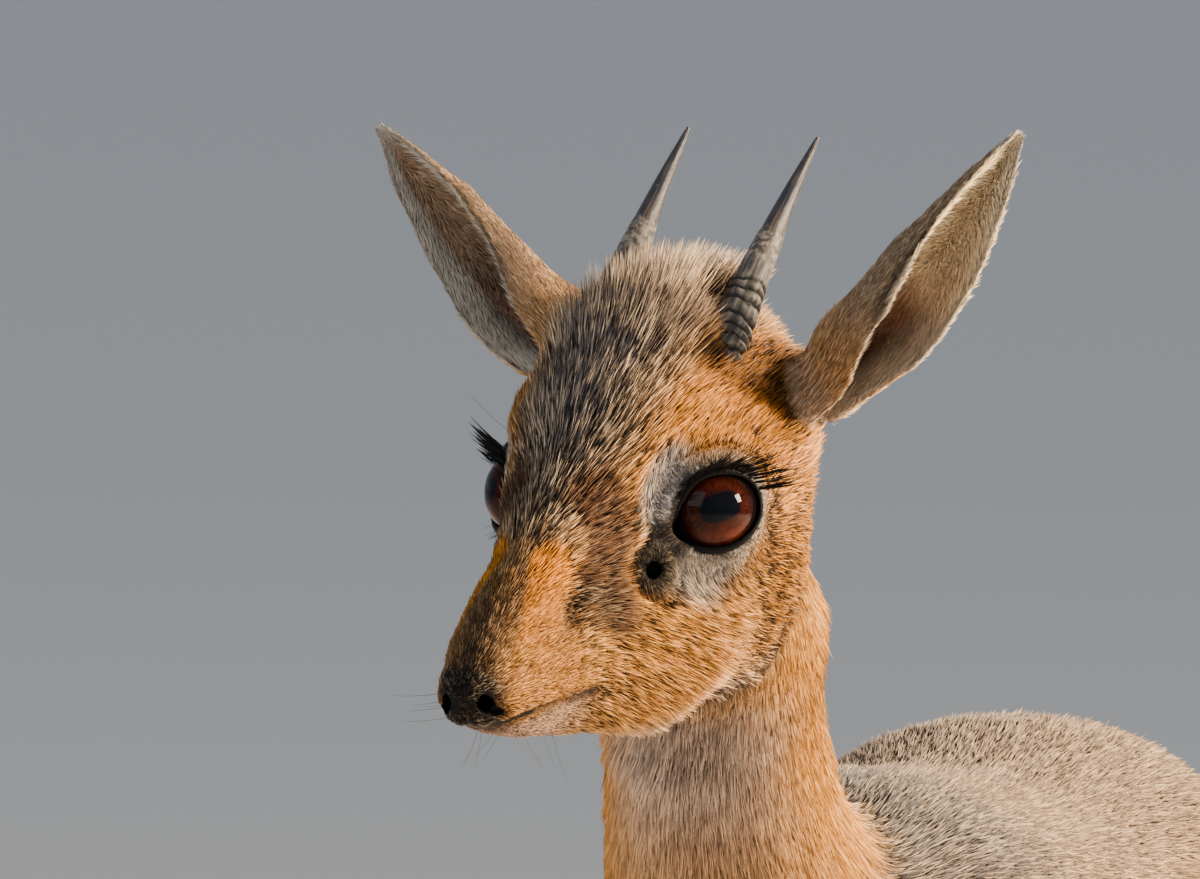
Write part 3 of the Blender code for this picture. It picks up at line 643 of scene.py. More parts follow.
def apply_modifiers(target: bpy.types.Object) -> None:
    """Puts the evaluated mesh in the place of the object's own.

    Args:
        target: the object that takes it.
    """
    graph = bpy.context.evaluated_depsgraph_get()
    made = bpy.data.meshes.new_from_object(target.evaluated_get(graph))
    old = target.data
    target.modifiers.clear()
    target.data = made
    bpy.data.meshes.remove(old)


def combine(target: bpy.types.Object, others: list[bpy.types.Object], operation: str) -> None:
    """One Boolean of the target with closed meshes, which are then removed.

    Args:
        target: the object that changes.
        others: the closed meshes.
        operation: UNION or DIFFERENCE.
    """
    group = bpy.data.collections.new("operands")
    bpy.context.scene.collection.children.link(group)
    for each in others:
        for holder in list(each.users_collection):
            holder.objects.unlink(each)
        group.objects.link(each)
    cut = target.modifiers.new("Combine", "BOOLEAN")
    cut.operation = operation
    cut.solver = "MANIFOLD"
    cut.operand_type = "COLLECTION"
    cut.collection = group
    apply_modifiers(target)
    for each in list(others):
        bpy.data.objects.remove(each)
    bpy.data.collections.remove(group)


def values_of(items: bpy.types.bpy_prop_collection, key: str, width: int = 3,
              kind: type = np.float32) -> Array:
    """One property of a mesh's items.

    Args:
        items: the mesh's points, edges, faces or corners.
        key: the property's name.
        width: how many numbers it has.
        kind: their type.

    Returns:
        The numbers, one row an item.
    """
    flat = np.empty(len(items) * width, kind)
    items.foreach_get(key, flat)
    return flat.reshape(-1, width)


def points_of(mesh: bpy.types.Mesh) -> Array:
    """The mesh's points in millimetres."""
    return values_of(mesh.vertices, "co").astype(float) / MM


def set_points(mesh: bpy.types.Mesh, points: Array) -> None:
    """Moves the mesh's points to places in millimetres."""
    mesh.vertices.foreach_set("co", (points * MM).astype(np.float32).ravel())
    mesh.update()


def normals_of(mesh: bpy.types.Mesh) -> Array:
    """The mesh's vertex normals."""
    return values_of(mesh.vertex_normals, "vector").astype(float)


def edges_of(mesh: bpy.types.Mesh) -> Array:
    """The mesh's edges as pairs of point indices."""
    return values_of(mesh.edges, "vertices", 2, np.int32)


def corners_of(mesh: bpy.types.Mesh) -> Array:
    """The point that each corner of the mesh's faces lies at."""
    return values_of(mesh.loops, "vertex_index", 1, np.int32)[:, 0]


def kd_tree(points: Array) -> KDTree:
    """A balanced tree that finds the nearest of some points.

    Args:
        points: the points, one a row.

    Returns:
        The tree, which gives their row numbers.
    """
    tree = KDTree(len(points))
    for index, point in enumerate(points):
        tree.insert(point, index)
    tree.balance()
    return tree


def evened(values: Array, edges: Array, rounds: int, weight: Array | float = 1.0) -> Array:
    """Values on a mesh's points, evened out along its edges.

    Args:
        values: one row a point.
        edges: pairs of point indices.
        rounds: how many times each point moves towards its neighbours' mean.
        weight: how much each point takes part.

    Returns:
        The evened values.
    """
    values = values.reshape(len(values), -1).copy()
    rate = np.broadcast_to(np.asarray(weight, float), (len(values),))
    edges = edges[(rate[edges] > 1e-4).any(axis=1)]
    active, index = np.unique(edges, return_inverse=True)
    ends = index.reshape(edges.shape)
    ends = np.concatenate([ends, ends[:, ::-1]])
    count = len(active)
    degree = np.maximum(np.bincount(ends[:, 0], minlength=count), 1)[:, None]
    rate = 0.6 * rate[active][:, None]
    moved = values[active]
    for _ in range(rounds):
        near = np.stack([np.bincount(ends[:, 0], column[ends[:, 1]], minlength=count)
                         for column in moved.T], 1) / degree
        moved += rate * (near - moved)
    values[active] = moved
    return values


def store(mesh: bpy.types.Mesh, name: str, values: Array) -> None:
    """Writes a value for each point to the mesh.

    Args:
        mesh: the mesh.
        name: the attribute's name.
        values: numbers, vectors of 3, or colours of 4, one row a point.
    """
    values = np.asarray(values, np.float32)
    kind, key = {1: ("FLOAT", "value"), 3: ("FLOAT_VECTOR", "vector"),
                 4: ("FLOAT_COLOR", "color")}[1 if values.ndim == 1 else values.shape[1]]
    attribute = mesh.attributes.new(name, kind, "POINT")
    attribute.data.foreach_set(key, values.ravel())


class Nodes:
    """Adds nodes to a tree and links them by the names of their enabled sockets."""

    def __init__(self, tree: bpy.types.NodeTree) -> None:
        """Keeps the tree."""
        self.tree = tree

    @staticmethod
    def socket(sockets: bpy.types.bpy_prop_collection, name: str | int) -> bpy.types.NodeSocket:
        """The enabled socket of that name, or at that place."""
        if isinstance(name, int):
            return sockets[name]
        return next(s for s in sockets if s.enabled and s.name == name)

    def fill(self, node: bpy.types.Node, inputs: dict[str | int, object]) -> None:
        """Sets or links a node's inputs.

        Args:
            node: the node.
            inputs: for each input, a value or the (node, output) that feeds it.
        """
        for name, value in inputs.items():
            target = self.socket(node.inputs, name)
            if isinstance(value, tuple) and isinstance(value[0], bpy.types.Node):
                self.tree.links.new(self.socket(value[0].outputs, value[1]), target)
            else:
                target.default_value = value

    def add(self, kind: str, inputs: dict[str | int, object] | None = None,
            **settings: object) -> bpy.types.Node:
        """One node with its settings and inputs.

        Args:
            kind: the node's type name.
            inputs: for each input, a value or the (node, output) that feeds it.
            settings: the node's own properties.

        Returns:
            The new node.
        """
        node = self.tree.nodes.new(kind)
        for name, value in settings.items():
            setattr(node, name, value)
        self.fill(node, inputs or {})
        return node

    def attribute(self, name: str, output: str = "Fac") -> Output:
        """A shader node that reads a mesh's attribute, with the output that carries it."""
        return self.add("ShaderNodeAttribute", attribute_name=name), output

    def math(self, operation: str, a: object, b: object = 0.0) -> Output:
        """A sum on two numbers."""
        return self.add("ShaderNodeMath", {0: a, 1: b}, operation=operation), "Value"

    def vector(self, operation: str, a: object, b: object) -> Output:
        """A sum on two vectors, or a vector's scaling by a number."""
        inputs = {0: a, "Scale" if operation == "SCALE" else 1: b}
        return self.add("ShaderNodeVectorMath", inputs, operation=operation), "Vector"

    def blend(self, a: object, b: object, factor: object) -> Output:
        """A mix of two colours."""
        inputs = {"Factor": factor, "A": a, "B": b}
        return self.add("ShaderNodeMix", inputs, data_type="RGBA"), "Result"

    def span(self, value: object, low: float, high: float, to_low: float = 0.0,
             to_high: float = 1.0) -> Output:
        """A number moved from one range to another, with smooth ends.

        Args:
            value: the number.
            low: the first range's start.
            high: its end.
            to_low: the second range's start.
            to_high: its end.

        Returns:
            The moved number.
        """
        inputs = {"Value": value, "From Min": low, "From Max": high, "To Min": to_low,
                  "To Max": to_high}
        return self.add("ShaderNodeMapRange", inputs, interpolation_type="SMOOTHSTEP"), "Result"

    def noise(self, place: object, scale: object, detail: float, output: str = "Fac") -> Output:
        """Noise at a place, as a number or a colour."""
        inputs = {"Vector": place, "Scale": scale, "Detail": detail}
        return self.add("ShaderNodeTexNoise", inputs), output

    def random(self, low: object, high: object, seed: object, kind: str = "FLOAT") -> Output:
        """A random value for each point."""
        inputs = {"Min": low, "Max": high, "Seed": seed}
        return self.add("FunctionNodeRandomValue", inputs, data_type=kind), "Value"

    def bump(self, strength: float, distance: float, height: object) -> Output:
        """A normal tilted by a height."""
        inputs = {"Strength": strength, "Distance": distance, "Height": height}
        return self.add("ShaderNodeBump", inputs), "Normal"

    def place(self) -> Output:
        """The place on the object, in metres."""
        return self.add("ShaderNodeTexCoord"), "Object"


@dataclass(frozen=True)
class FurColour:
    """How a marking's tone turns into the colour of one hair at one place along it."""
    name: str = "fur_colour"
    cream: Triple = (236, 206, 164)
    dark: Triple = (26, 22, 26)
    cream_share: float = 0.66
    dark_share: float = 0.84
    salted: Pair = (0.62, 0.74)
    peppered: Pair = (0.46, 0.34)
    tip: Pair = (0.55, 1.0)
    tip_share: float = 0.75
    tip_cream: float = 0.5
    root_light: float = 0.28
    end_light: float = 1.14
    lit_from: float = 0.8
    dimmest: float = 0.52
    brightest: float = 1.34
    least: float = 0.05

    def group(self) -> bpy.types.NodeTree:
        """The node group, made the first time that it is asked for.

        Returns:
            The group, with Tone, Grizzle, Shade, Along and Contrast in, and Color out.
        """
        found = bpy.data.node_groups.get(self.name)
        if found:
            return found
        tree = bpy.data.node_groups.new(self.name, "ShaderNodeTree")
        tree.interface.new_socket("Tone", in_out="INPUT", socket_type="NodeSocketColor")
        for name in ("Grizzle", "Shade", "Along", "Contrast"):
            tree.interface.new_socket(name, in_out="INPUT", socket_type="NodeSocketFloat")
        tree.interface.new_socket("Color", in_out="OUTPUT", socket_type="NodeSocketColor")
        nodes = Nodes(tree)
        inside = nodes.add("NodeGroupInput")
        tone, grizzle, shade, along, contrast = ((inside, name) for name in (
            "Tone", "Grizzle", "Shade", "Along", "Contrast"))
        cream = solid(self.cream)
        pale = nodes.blend(tone, cream, self.cream_share)
        dark = nodes.blend(tone, solid(self.dark), self.dark_share)
        salt = nodes.math("MULTIPLY", nodes.span(shade, *self.salted), grizzle)
        pepper = nodes.math("MULTIPLY", nodes.span(shade, *self.peppered), grizzle)
        hair = nodes.blend(nodes.blend(tone, pale, salt), dark, pepper)
        tips = nodes.math("MULTIPLY", nodes.span(along, *self.tip, 0.0, self.tip_share), grizzle)
        hair = nodes.blend(hair, nodes.blend(tone, cream, self.tip_cream), tips)
        # Darker towards the root: the hair's own banding, and painted shade where the hairs cover
        # one another.
        banding_and_shade = nodes.span(along, 0.0, self.lit_from, self.root_light, self.end_light)
        spread = nodes.add("ShaderNodeMapRange", {
            "Value": shade, "To Min": self.dimmest, "To Max": self.brightest})
        light = nodes.math("MULTIPLY", banding_and_shade, (spread, "Result"))
        light = nodes.math("MULTIPLY", nodes.math("SUBTRACT", light, 1.0), contrast)
        light = nodes.math("MAXIMUM", self.least, nodes.math("ADD", 1.0, light))
        nodes.add("NodeGroupOutput", {"Color": nodes.vector("SCALE", hair, light)})
        return tree


def new_material(name: str) -> tuple[bpy.types.Material, Nodes, bpy.types.Node]:
    """An empty material.

    Args:
        name: its name.

    Returns:
        The material, a builder for its nodes, and its Principled shader.
    """
    made = bpy.data.materials.new(name)
    made.use_nodes = True
    return made, Nodes(made.node_tree), made.node_tree.nodes["Principled BSDF"]


@dataclass(frozen=True)
class CoatFinish:
    """Hair that takes its colour from the tone at its root."""
    name: str = "coat_hair"
    fur: FurColour = FurColour()
    roughness: float = 0.55
    specular: float = 0.16

    def material(self) -> bpy.types.Material:
        """Builds the hair's material, from the attributes of its root.

        Returns:
            The material.
        """
        made, nodes, shader = new_material(self.name)
        inputs = {"Tone": nodes.attribute("tone", "Color")}
        for name in ("Grizzle", "Shade", "Along", "Contrast"):
            inputs[name] = nodes.attribute(name.lower())
        hair = nodes.add("ShaderNodeGroup", inputs, node_tree=self.fur.group())
        nodes.fill(shader, {"Base Color": (hair, "Color"), "Roughness": self.roughness,
                            "Specular IOR Level": self.specular})
        return made


@dataclass(frozen=True)
class SkinFinish:
    """The skin between the tufts, with short hair as bump, and bare leather where it is bare."""
    name: str = "skin"
    fur: FurColour = FurColour()
    # The skin is coloured as hair this far along, so it takes the root's darkening: banding and
    # painted shade.
    along: float = 0.28
    hair_grain: float = 1500.0
    leather_grain: float = 2600.0
    bump: float = 0.55
    bump_height: float = 0.0003
    hair_roughness: float = 0.75
    leather_roughness: float = 0.42
    specular: float = 0.1

    def material(self) -> bpy.types.Material:
        """Builds the skin's material, from the attributes of its points.

        Returns:
            The material.
        """
        made, nodes, shader = new_material(self.name)
        place = nodes.place()
        speckle = nodes.noise(place, self.hair_grain, 2.0)
        tone, bare = nodes.attribute("tone", "Color"), nodes.attribute("bare")
        hair = nodes.add("ShaderNodeGroup", {
            "Tone": tone, "Grizzle": nodes.attribute("grizzle"), "Shade": speckle,
            "Along": self.along, "Contrast": nodes.attribute("contrast")},
            node_tree=self.fur.group())
        pores = nodes.add("ShaderNodeTexVoronoi", {"Vector": place, "Scale": self.leather_grain})
        height = nodes.add("ShaderNodeMix", {
            "Factor": bare, "A": speckle, "B": (pores, "Distance")}, data_type="FLOAT")
        nodes.fill(shader, {
            "Base Color": nodes.blend((hair, "Color"), tone, bare),
            "Normal": nodes.bump(self.bump, self.bump_height, (height, "Result")),
            "Roughness": nodes.span(bare, 0.0, 1.0, self.hair_roughness,
                                    self.leather_roughness),
            "Specular IOR Level": self.specular})
        return made


@dataclass(frozen=True)
class DarkFinish:
    """One dark colour, broken up a little, for lid rims, lashes, whiskers and hooves."""
    name: str
    tint: Triple
    other: Triple
    roughness: float
    coat: float = 0.0
    coat_roughness: float = 0.08
    specular: float = 0.5
    grain: float = 900.0
    bump: float = 0.3
    bump_height: float = 0.0002
    stretch: Triple = (1.0, 1.0, 1.0)

    def material(self) -> bpy.types.Material:
        """Builds the material.

        Returns:
            The material.
        """
        made, nodes, shader = new_material(self.name)
        turned = nodes.add("ShaderNodeMapping", {"Vector": nodes.place(), "Scale": self.stretch})
        noise = nodes.noise((turned, "Vector"), self.grain, 3.0)
        nodes.fill(shader, {
            "Base Color": nodes.blend(solid(self.tint), solid(self.other),
                                      nodes.span(noise, 0.35, 0.65)),
            "Normal": nodes.bump(self.bump, self.bump_height, noise),
            "Roughness": self.roughness, "Coat Weight": self.coat,
            "Coat Roughness": self.coat_roughness, "Specular IOR Level": self.specular})
        return made


@dataclass(frozen=True)
class EyeFinish:
    """A brown iris with a wide pupil under a wet, clear cornea."""
    name: str = "eye"
    iris_radius: float = 0.64
    pupil_width: float = 0.37
    pupil_height: float = 0.245
    pupil_rise: float = 0.09
    pupil_power: float = 3.0
    deep: Triple = (26, 8, 4)
    brown: Triple = (66, 23, 11)
    lit_lower_iris: Triple = (110, 45, 17)
    shade: Triple = (32, 9, 5)
    rim: Triple = (34, 11, 7)
    pupil: Triple = (7, 9, 15)
    white: Triple = (17, 10, 9)
    roughness: float = 0.5
    wetness: float = 0.75
    wet_roughness: float = 0.015
    wet_index: float = 1.24

    def material(self) -> bpy.types.Material:
        """Builds the eye's material, from eye_place in eyeball radii.

        Returns:
            The material.
        """
        made, nodes, shader = new_material(self.name)
        spot = nodes.add("ShaderNodeSeparateXYZ", {
            "Vector": nodes.attribute("eye_place", "Vector")})
        x, y = (spot, "X"), (spot, "Y")
        radius = nodes.math("SQRT", nodes.math("ADD", nodes.math("MULTIPLY", x, x),
                                               nodes.math("MULTIPLY", y, y)))
        polar = nodes.add("ShaderNodeCombineXYZ", {
            "X": nodes.math("MULTIPLY", nodes.math("ARCTAN2", y, x), 9.0),
            "Y": nodes.math("MULTIPLY", radius, 3.0)})
        fibres = nodes.noise((polar, "Vector"), 2.4, 4.0)
        rings = nodes.noise(nodes.attribute("eye_place", "Vector"), 5.0, 2.0)
        iris = nodes.blend(solid(self.deep), solid(self.brown), nodes.span(fibres, 0.36, 0.66))
        # Painted light: the iris's lower part lighter, as lit through the cornea.
        iris = nodes.blend(iris, solid(self.lit_lower_iris), nodes.span(y, -0.12, -0.55, 0.0, 0.5))
        iris = nodes.blend(iris, solid(self.shade), nodes.span(rings, 0.42, 0.62, 0.0, 0.5))
        iris = nodes.blend(iris, solid(self.rim), nodes.span(
            radius, self.iris_radius * 0.78, self.iris_radius * 0.99))
        lifted = nodes.math("SUBTRACT", y, self.pupil_rise)
        wide, tall = (nodes.math("POWER", nodes.math("ABSOLUTE", nodes.math(
            "DIVIDE", share, size)), self.pupil_power)
            for share, size in ((x, self.pupil_width), (lifted, self.pupil_height)))
        seen = nodes.blend(solid(self.pupil), iris, nodes.span(
            nodes.math("ADD", wide, tall), 0.78, 1.35))
        seen = nodes.blend(seen, solid(self.white), nodes.span(
            radius, self.iris_radius * 0.97, self.iris_radius * 1.05))
        nodes.fill(shader, {
            "Base Color": seen, "Roughness": self.roughness, "Specular IOR Level": 0.0,
            "Coat Weight": self.wetness, "Coat Roughness": self.wet_roughness,
            "Coat IOR": self.wet_index})
        return made


@dataclass(frozen=True)
class HornFinish:
    """Grey-brown horn, scaly, with painted shade in the grooves between its rings, and polished
    towards the tip.
    """
    name: str = "horn"
    ring_tones: tuple[Triple, Triple] = ((44, 40, 38), (112, 104, 96))
    bark_tones: tuple[Triple, Triple] = ((62, 56, 52), (134, 120, 106))
    tip_tones: tuple[Triple, Triple] = ((28, 30, 42), (80, 68, 60))
    # Painted shade for the grooves between the rings.
    groove: Triple = (12, 10, 9)
    flake: Triple = (140, 124, 108)
    flake_grain: float = 700.0
    bump: float = 0.6
    bump_height: float = 0.00025
    low_roughness: float = 0.62
    tip_roughness: float = 0.45

    def material(self) -> bpy.types.Material:
        """Builds the horn's material, from horn_place: along, round and ring.

        Returns:
            The material.
        """
        made, nodes, shader = new_material(self.name)
        place = nodes.add("ShaderNodeSeparateXYZ", {
            "Vector": nodes.attribute("horn_place", "Vector")})
        along, ring = (place, "X"), (place, "Z")
        drawn = nodes.add("ShaderNodeCombineXYZ", {
            "X": nodes.math("MULTIPLY", (place, "Y"), 26.0),
            "Y": nodes.math("MULTIPLY", along, 7.0)})
        fibres = nodes.noise((drawn, "Vector"), 1.0, 4.0)
        flakes = nodes.noise(nodes.place(), self.flake_grain, 3.0)
        low, bark, high = (
            nodes.blend(solid(tones[0]), solid(tones[1]), nodes.span(grain, *limits))
            for tones, grain, limits in ((self.ring_tones, fibres, (0.40, 0.66)),
                                         (self.bark_tones, flakes, (0.40, 0.62)),
                                         (self.tip_tones, fibres, (0.42, 0.70))))
        # Painted shade: the grooves between the rings darkened.
        low = nodes.blend(low, solid(self.groove), nodes.span(ring, 0.85, 0.25))
        low = nodes.blend(low, bark, nodes.span(along, 0.46, 0.52))
        ragged = nodes.math("ADD", along, nodes.math("MULTIPLY", fibres, 0.09))
        tint = nodes.blend(low, high, nodes.span(ragged, 0.655, 0.675))
        tint = nodes.blend(tint, solid(self.flake), nodes.span(flakes, 0.62, 0.76, 0.0, 0.3))
        height = nodes.math("ADD", fibres, nodes.math("MULTIPLY", flakes, 0.6))
        nodes.fill(shader, {
            "Base Color": tint, "Normal": nodes.bump(self.bump, self.bump_height, height),
            "Roughness": nodes.span(along, 0.45, 0.75, self.low_roughness,
                                    self.tip_roughness)})
        return made


Finish = CoatFinish | SkinFinish | DarkFinish | EyeFinish | HornFinish


COAT = CoatFinish()
SKIN = SkinFinish()
LID_RIM = DarkFinish("lid_rim", (3, 2, 3), (8, 6, 6), 0.42, specular=0.1, grain=1400.0,
                     bump=0.15)
LASH = DarkFinish("lash", (8, 6, 7), (18, 13, 12), 0.5, specular=0.2, bump=0.05)
WHISKER = DarkFinish("whisker", (50, 40, 34), (96, 80, 66), 0.5, bump=0.05)
HOOF = DarkFinish("hoof", (28, 24, 22), (58, 50, 44), 0.42, grain=260.0, bump=0.5,
                  stretch=(0.3, 0.3, 2.6))
_made_materials: dict[str, bpy.types.Material] = {}


def finish_material(finish: Finish) -> bpy.types.Material:
    """The material of a finish, made the first time that it is asked for."""
    if finish.name not in _made_materials:
        _made_materials[finish.name] = finish.material()
    return _made_materials[finish.name]


def new_piece(name: str, mesh: bpy.types.Mesh, finish: Finish | None,
              replaced: tuple[str, ...] = ()) -> bpy.types.Object:
    """An object of the finished model.

    Args:
        name: the piece's name.
        mesh: its mesh, in metres and in place.
        finish: its finish, or None where the mesh has its material.
        replaced: the CAD nodes that it stands for.

    Returns:
        The object, riding on the one body.
    """
    mesh.name = name
    if finish is not None:
        mesh.materials.clear()
        mesh.materials.append(finish_material(finish))
    made = bpy.data.objects.new(name, mesh)
    bpy.context.scene.collection.objects.link(made)
    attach(made, "root")
    if replaced:
        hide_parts(*replaced)
    log.info("%s: %d faces", name, len(mesh.polygons))
    return made


def shell_mesh(name: str, shell: Shell, shift: Array) -> bpy.types.Mesh:
    """A smooth mesh of a shell.

    Args:
        name: the mesh's name.
        shell: the shell, in the tables' frame.
        shift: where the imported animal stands.

    Returns:
        The mesh, in metres and in place.
    """
    mesh = bpy.data.meshes.new(name)
    mesh.from_pydata((shell.points + shift) * MM, [], shell.faces)
    mesh.shade_smooth()
    return mesh


@dataclass
class EyeBall:
    """One eyeball with its clearer bulge in front."""
    mirror: int
    segments: int = 96
    rings: int = 72
    bulge: float = 0.075
    bulge_angles: Pair = (12, 46)

    def bulged(self, points: Array, scale: float = 1.0) -> Array:
        """Points of a ball that looks along z, bulged and turned to the eye's gaze.

        Args:
            points: points on the ball.
            scale: a factor on its size.

        Returns:
            The points in the head's frame.
        """
        away = np.degrees(np.arccos(np.clip(unit(points)[:, 2], -1, 1)))
        bulge = self.bulge * (1 - ease(away, *self.bulge_angles))
        points = points * (scale * (1 + bulge))[:, None]
        centre, gaze, _, _ = EYES.axes(self.mirror)
        side = unit(np.cross((0, 0, 1.0), gaze))
        turn = np.stack([side, np.cross(gaze, side), gaze], 1)
        return points @ turn.T + centre

    def shell(self, segments: int, rings: int, scale: float = 1.0) -> Shell:
        """The ball as a closed shell in the head's frame.

        Args:
            segments: how many points go round it.
            rings: how many steps lead from front to back.
            scale: a factor on its size.

        Returns:
            The shell.
        """
        theta = np.linspace(0, math.pi, rings + 1)[1:-1]
        phi = circle(segments)
        ring = np.stack([np.cos(phi), np.sin(phi)], 1)
        points = [np.concatenate([ring * math.sin(t), np.full((segments, 1), math.cos(t))], 1)
                  for t in theta]
        made = lofted(np.array(points) * EYES.radius)
        made.points[-2:] = np.array(((0, 0, 1.0), (0, 0, -1.0))) * EYES.radius
        made.points = self.bulged(made.points, scale)
        return made

    def build(self, shift: Array) -> bpy.types.Object:
        """Makes the eye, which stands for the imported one.

        Args:
            shift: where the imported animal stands.

        Returns:
            The piece.
        """
        side = side_name(self.mirror)
        shell = self.shell(self.segments, self.rings)
        centre, gaze, out, up = EYES.axes(self.mirror)
        ray = (shell.points - centre) / EYES.radius
        place = np.stack([ray @ out, ray @ up, ray @ gaze], 1)
        shell.points = HEAD_POSE.to_animal(shell.points)
        mesh = shell_mesh(f"eyeball_{side}", shell, shift)
        store(mesh, "eye_place", place)
        return new_piece(f"eyeball_{side}", mesh, EyeFinish(), (f"eye_{side}",))


@dataclass
class LidRim:
    """The black, wet rim round one eye, drawn out at its inner corner."""
    mirror: int
    count: int = 120
    sides: int = 12
    upper: float = 1.05
    lower: float = 0.80
    proud: float = 0.75
    corner_reach: float = 2.2
    corner_pull: Pair = (1.1, 0.8)
    corner_swell: float = 0.25
    outer_thinning: float = 0.4
    unevenness: float = 0.06
    flatness: Pair = (1.25, 0.9)

    def shell(self) -> Shell:
        """Sweeps the rim round the opening as a closed ring.

        Returns:
            The rim in the head's frame.
        """
        centre, gaze, out, up = EYES.axes(self.mirror)
        outline = EYES.outline(self.count)
        corner = bell(np.hypot(outline[:, 0] + EYES.half_width * 1.06, outline[:, 1] + 1.1),
                      self.corner_reach)
        x = outline[:, 0] - self.corner_pull[0] * corner
        y = outline[:, 1] - self.corner_pull[1] * corner
        deep = np.sqrt(np.maximum(9.0, (EYES.radius + self.proud) ** 2 - x * x - y * y))
        path = centre + np.outer(x, out) + np.outer(y, up) + np.outer(deep, gaze)
        radial = unit(path - centre)
        along = unit(np.roll(path, -1, 0) - np.roll(path, 1, 0))
        across = np.cross(along, radial)
        size = np.where(outline[:, 1] > 0, self.upper, self.lower)
        size = size * (1 + self.corner_swell * corner)
        size = size * (1 - self.outer_thinning * ease(outline[:, 0] / EYES.half_width, 0.3, 0.9))
        size = size * (1 + self.unevenness * np.sin(np.arange(self.count) * 2.3))
        angle = circle(self.sides)
        rings = rings_round(path, across, size[:, None] * np.cos(angle) * self.flatness[0],
                            radial, size[:, None] * np.sin(angle) * self.flatness[1])
        index = np.arange(self.count * self.sides).reshape(self.count, self.sides)
        quads = np.stack([index, np.roll(index, -1, 1), np.roll(np.roll(index, -1, 1), -1, 0),
                          np.roll(index, -1, 0)], -1).reshape(-1, 4)
        faces = [tuple(int(i) for i in quad) for quad in quads]
        return Shell(rings.reshape(-1, 3), faces).facing_out()

    def build(self, shift: Array) -> bpy.types.Object:
        """Makes the rim as a piece.

        Args:
            shift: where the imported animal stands.

        Returns:
            The piece.
        """
        side = side_name(self.mirror)
        shell = self.shell()
        shell.points = HEAD_POSE.to_animal(shell.points)
        return new_piece(f"lid_rim_{side}", shell_mesh("rim", shell, shift), LID_RIM)


@dataclass
class Horn:
    """One short horn, ringed low down and smooth above, with a flaking collar between."""
    mirror: int
    base: Triple = (16.2, -20.0, 27.0)
    tip: Triple = (16.9, -70.2, 60.6)
    radius: float = 5.4
    sides: int = 60
    rings: int = 250
    ring_pitch: float = 3.3
    ring_height: float = 0.15
    sunk: float = 6.0
    bow: float = 2.6
    blunt: float = 0.40
    rings_from: Pair = (5, 7)
    rings_to: Pair = (29, 26)
    collar: float = 0.07
    streak: float = 0.012

    def shell(self) -> tuple[Shell, Array]:
        """Lofts the horn with its rings, collar and streaks.

        Returns:
            The horn in the head's frame, and each point's along, round and ring.
        """
        root, tip = (on_side(place, self.mirror) for place in (self.base, self.tip))
        lean = unit(tip - root)
        root = root - lean * self.sunk
        length = float(np.linalg.norm(tip - root))
        t = 1 - (1 - np.linspace(0, 1, self.rings)) ** 1.15
        path = root + np.outer(t, tip - root)
        path += np.outer(self.bow * np.sin(math.pi * t), local(0, 1, 0))
        side = unit(np.cross(lean, (1.0, 0, 0)))
        over = np.cross(lean, side)
        angle = circle(self.sides)
        place = (t * length)[:, None]
        wobble = 0.8 * np.sin(angle + 0.7 * self.mirror) + 0.4 * np.sin(3 * angle + 0.4 * place)
        wobble = wobble + 0.18 * np.sin(8 * angle + place) + 0.7 * np.sin(0.5 * place)
        phase = ((place + wobble) / self.ring_pitch) % 1.0
        ringed = ease(place, *self.rings_from) * ease(place, *self.rings_to)
        bulge = np.minimum(1, 3.4 * phase) ** 0.7 * (1 - phase ** 5)
        radius = self.radius * (1 - t) ** 0.80 * (1 - 0.12 * t) + self.blunt
        collar = self.collar * ease(place, 25, 29)
        collar = collar * ease(place + 1.5 * np.sin(3 * angle), 43, 40)
        streaks = self.streak * np.sin(9 * angle + 2 * np.sin(place / 9)) * ease(place, 28, 40)
        factor = 1 + ringed * self.ring_height * (bulge - 0.55) * 1.5 + collar + streaks
        spread = radius[:, None] * factor
        rings = rings_round(path, side, spread * np.cos(angle), over, spread * np.sin(angle))
        shell = lofted(rings)
        marks = np.stack([np.broadcast_to(t[:, None], phase.shape),
                          np.broadcast_to(angle / (2 * math.pi), phase.shape),
                          1 - ringed * (1 - bulge)], -1).reshape(-1, 3)
        ends = np.array(((0, 0, 1.0), (1.0, 0, 1.0)))
        return shell, np.concatenate([marks, ends])

    def build(self, shift: Array) -> bpy.types.Object:
        """Makes the horn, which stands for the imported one.

        Args:
            shift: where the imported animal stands.

        Returns:
            The piece.
        """
        side = side_name(self.mirror)
        shell, marks = self.shell()
        shell.points = HEAD_POSE.to_animal(shell.points)
        mesh = shell_mesh(f"horn_{side}", shell, shift)
        store(mesh, "horn_place", marks)
        return new_piece(f"ringed_horn_{side}", mesh, HornFinish(), (f"horn_{side}",))


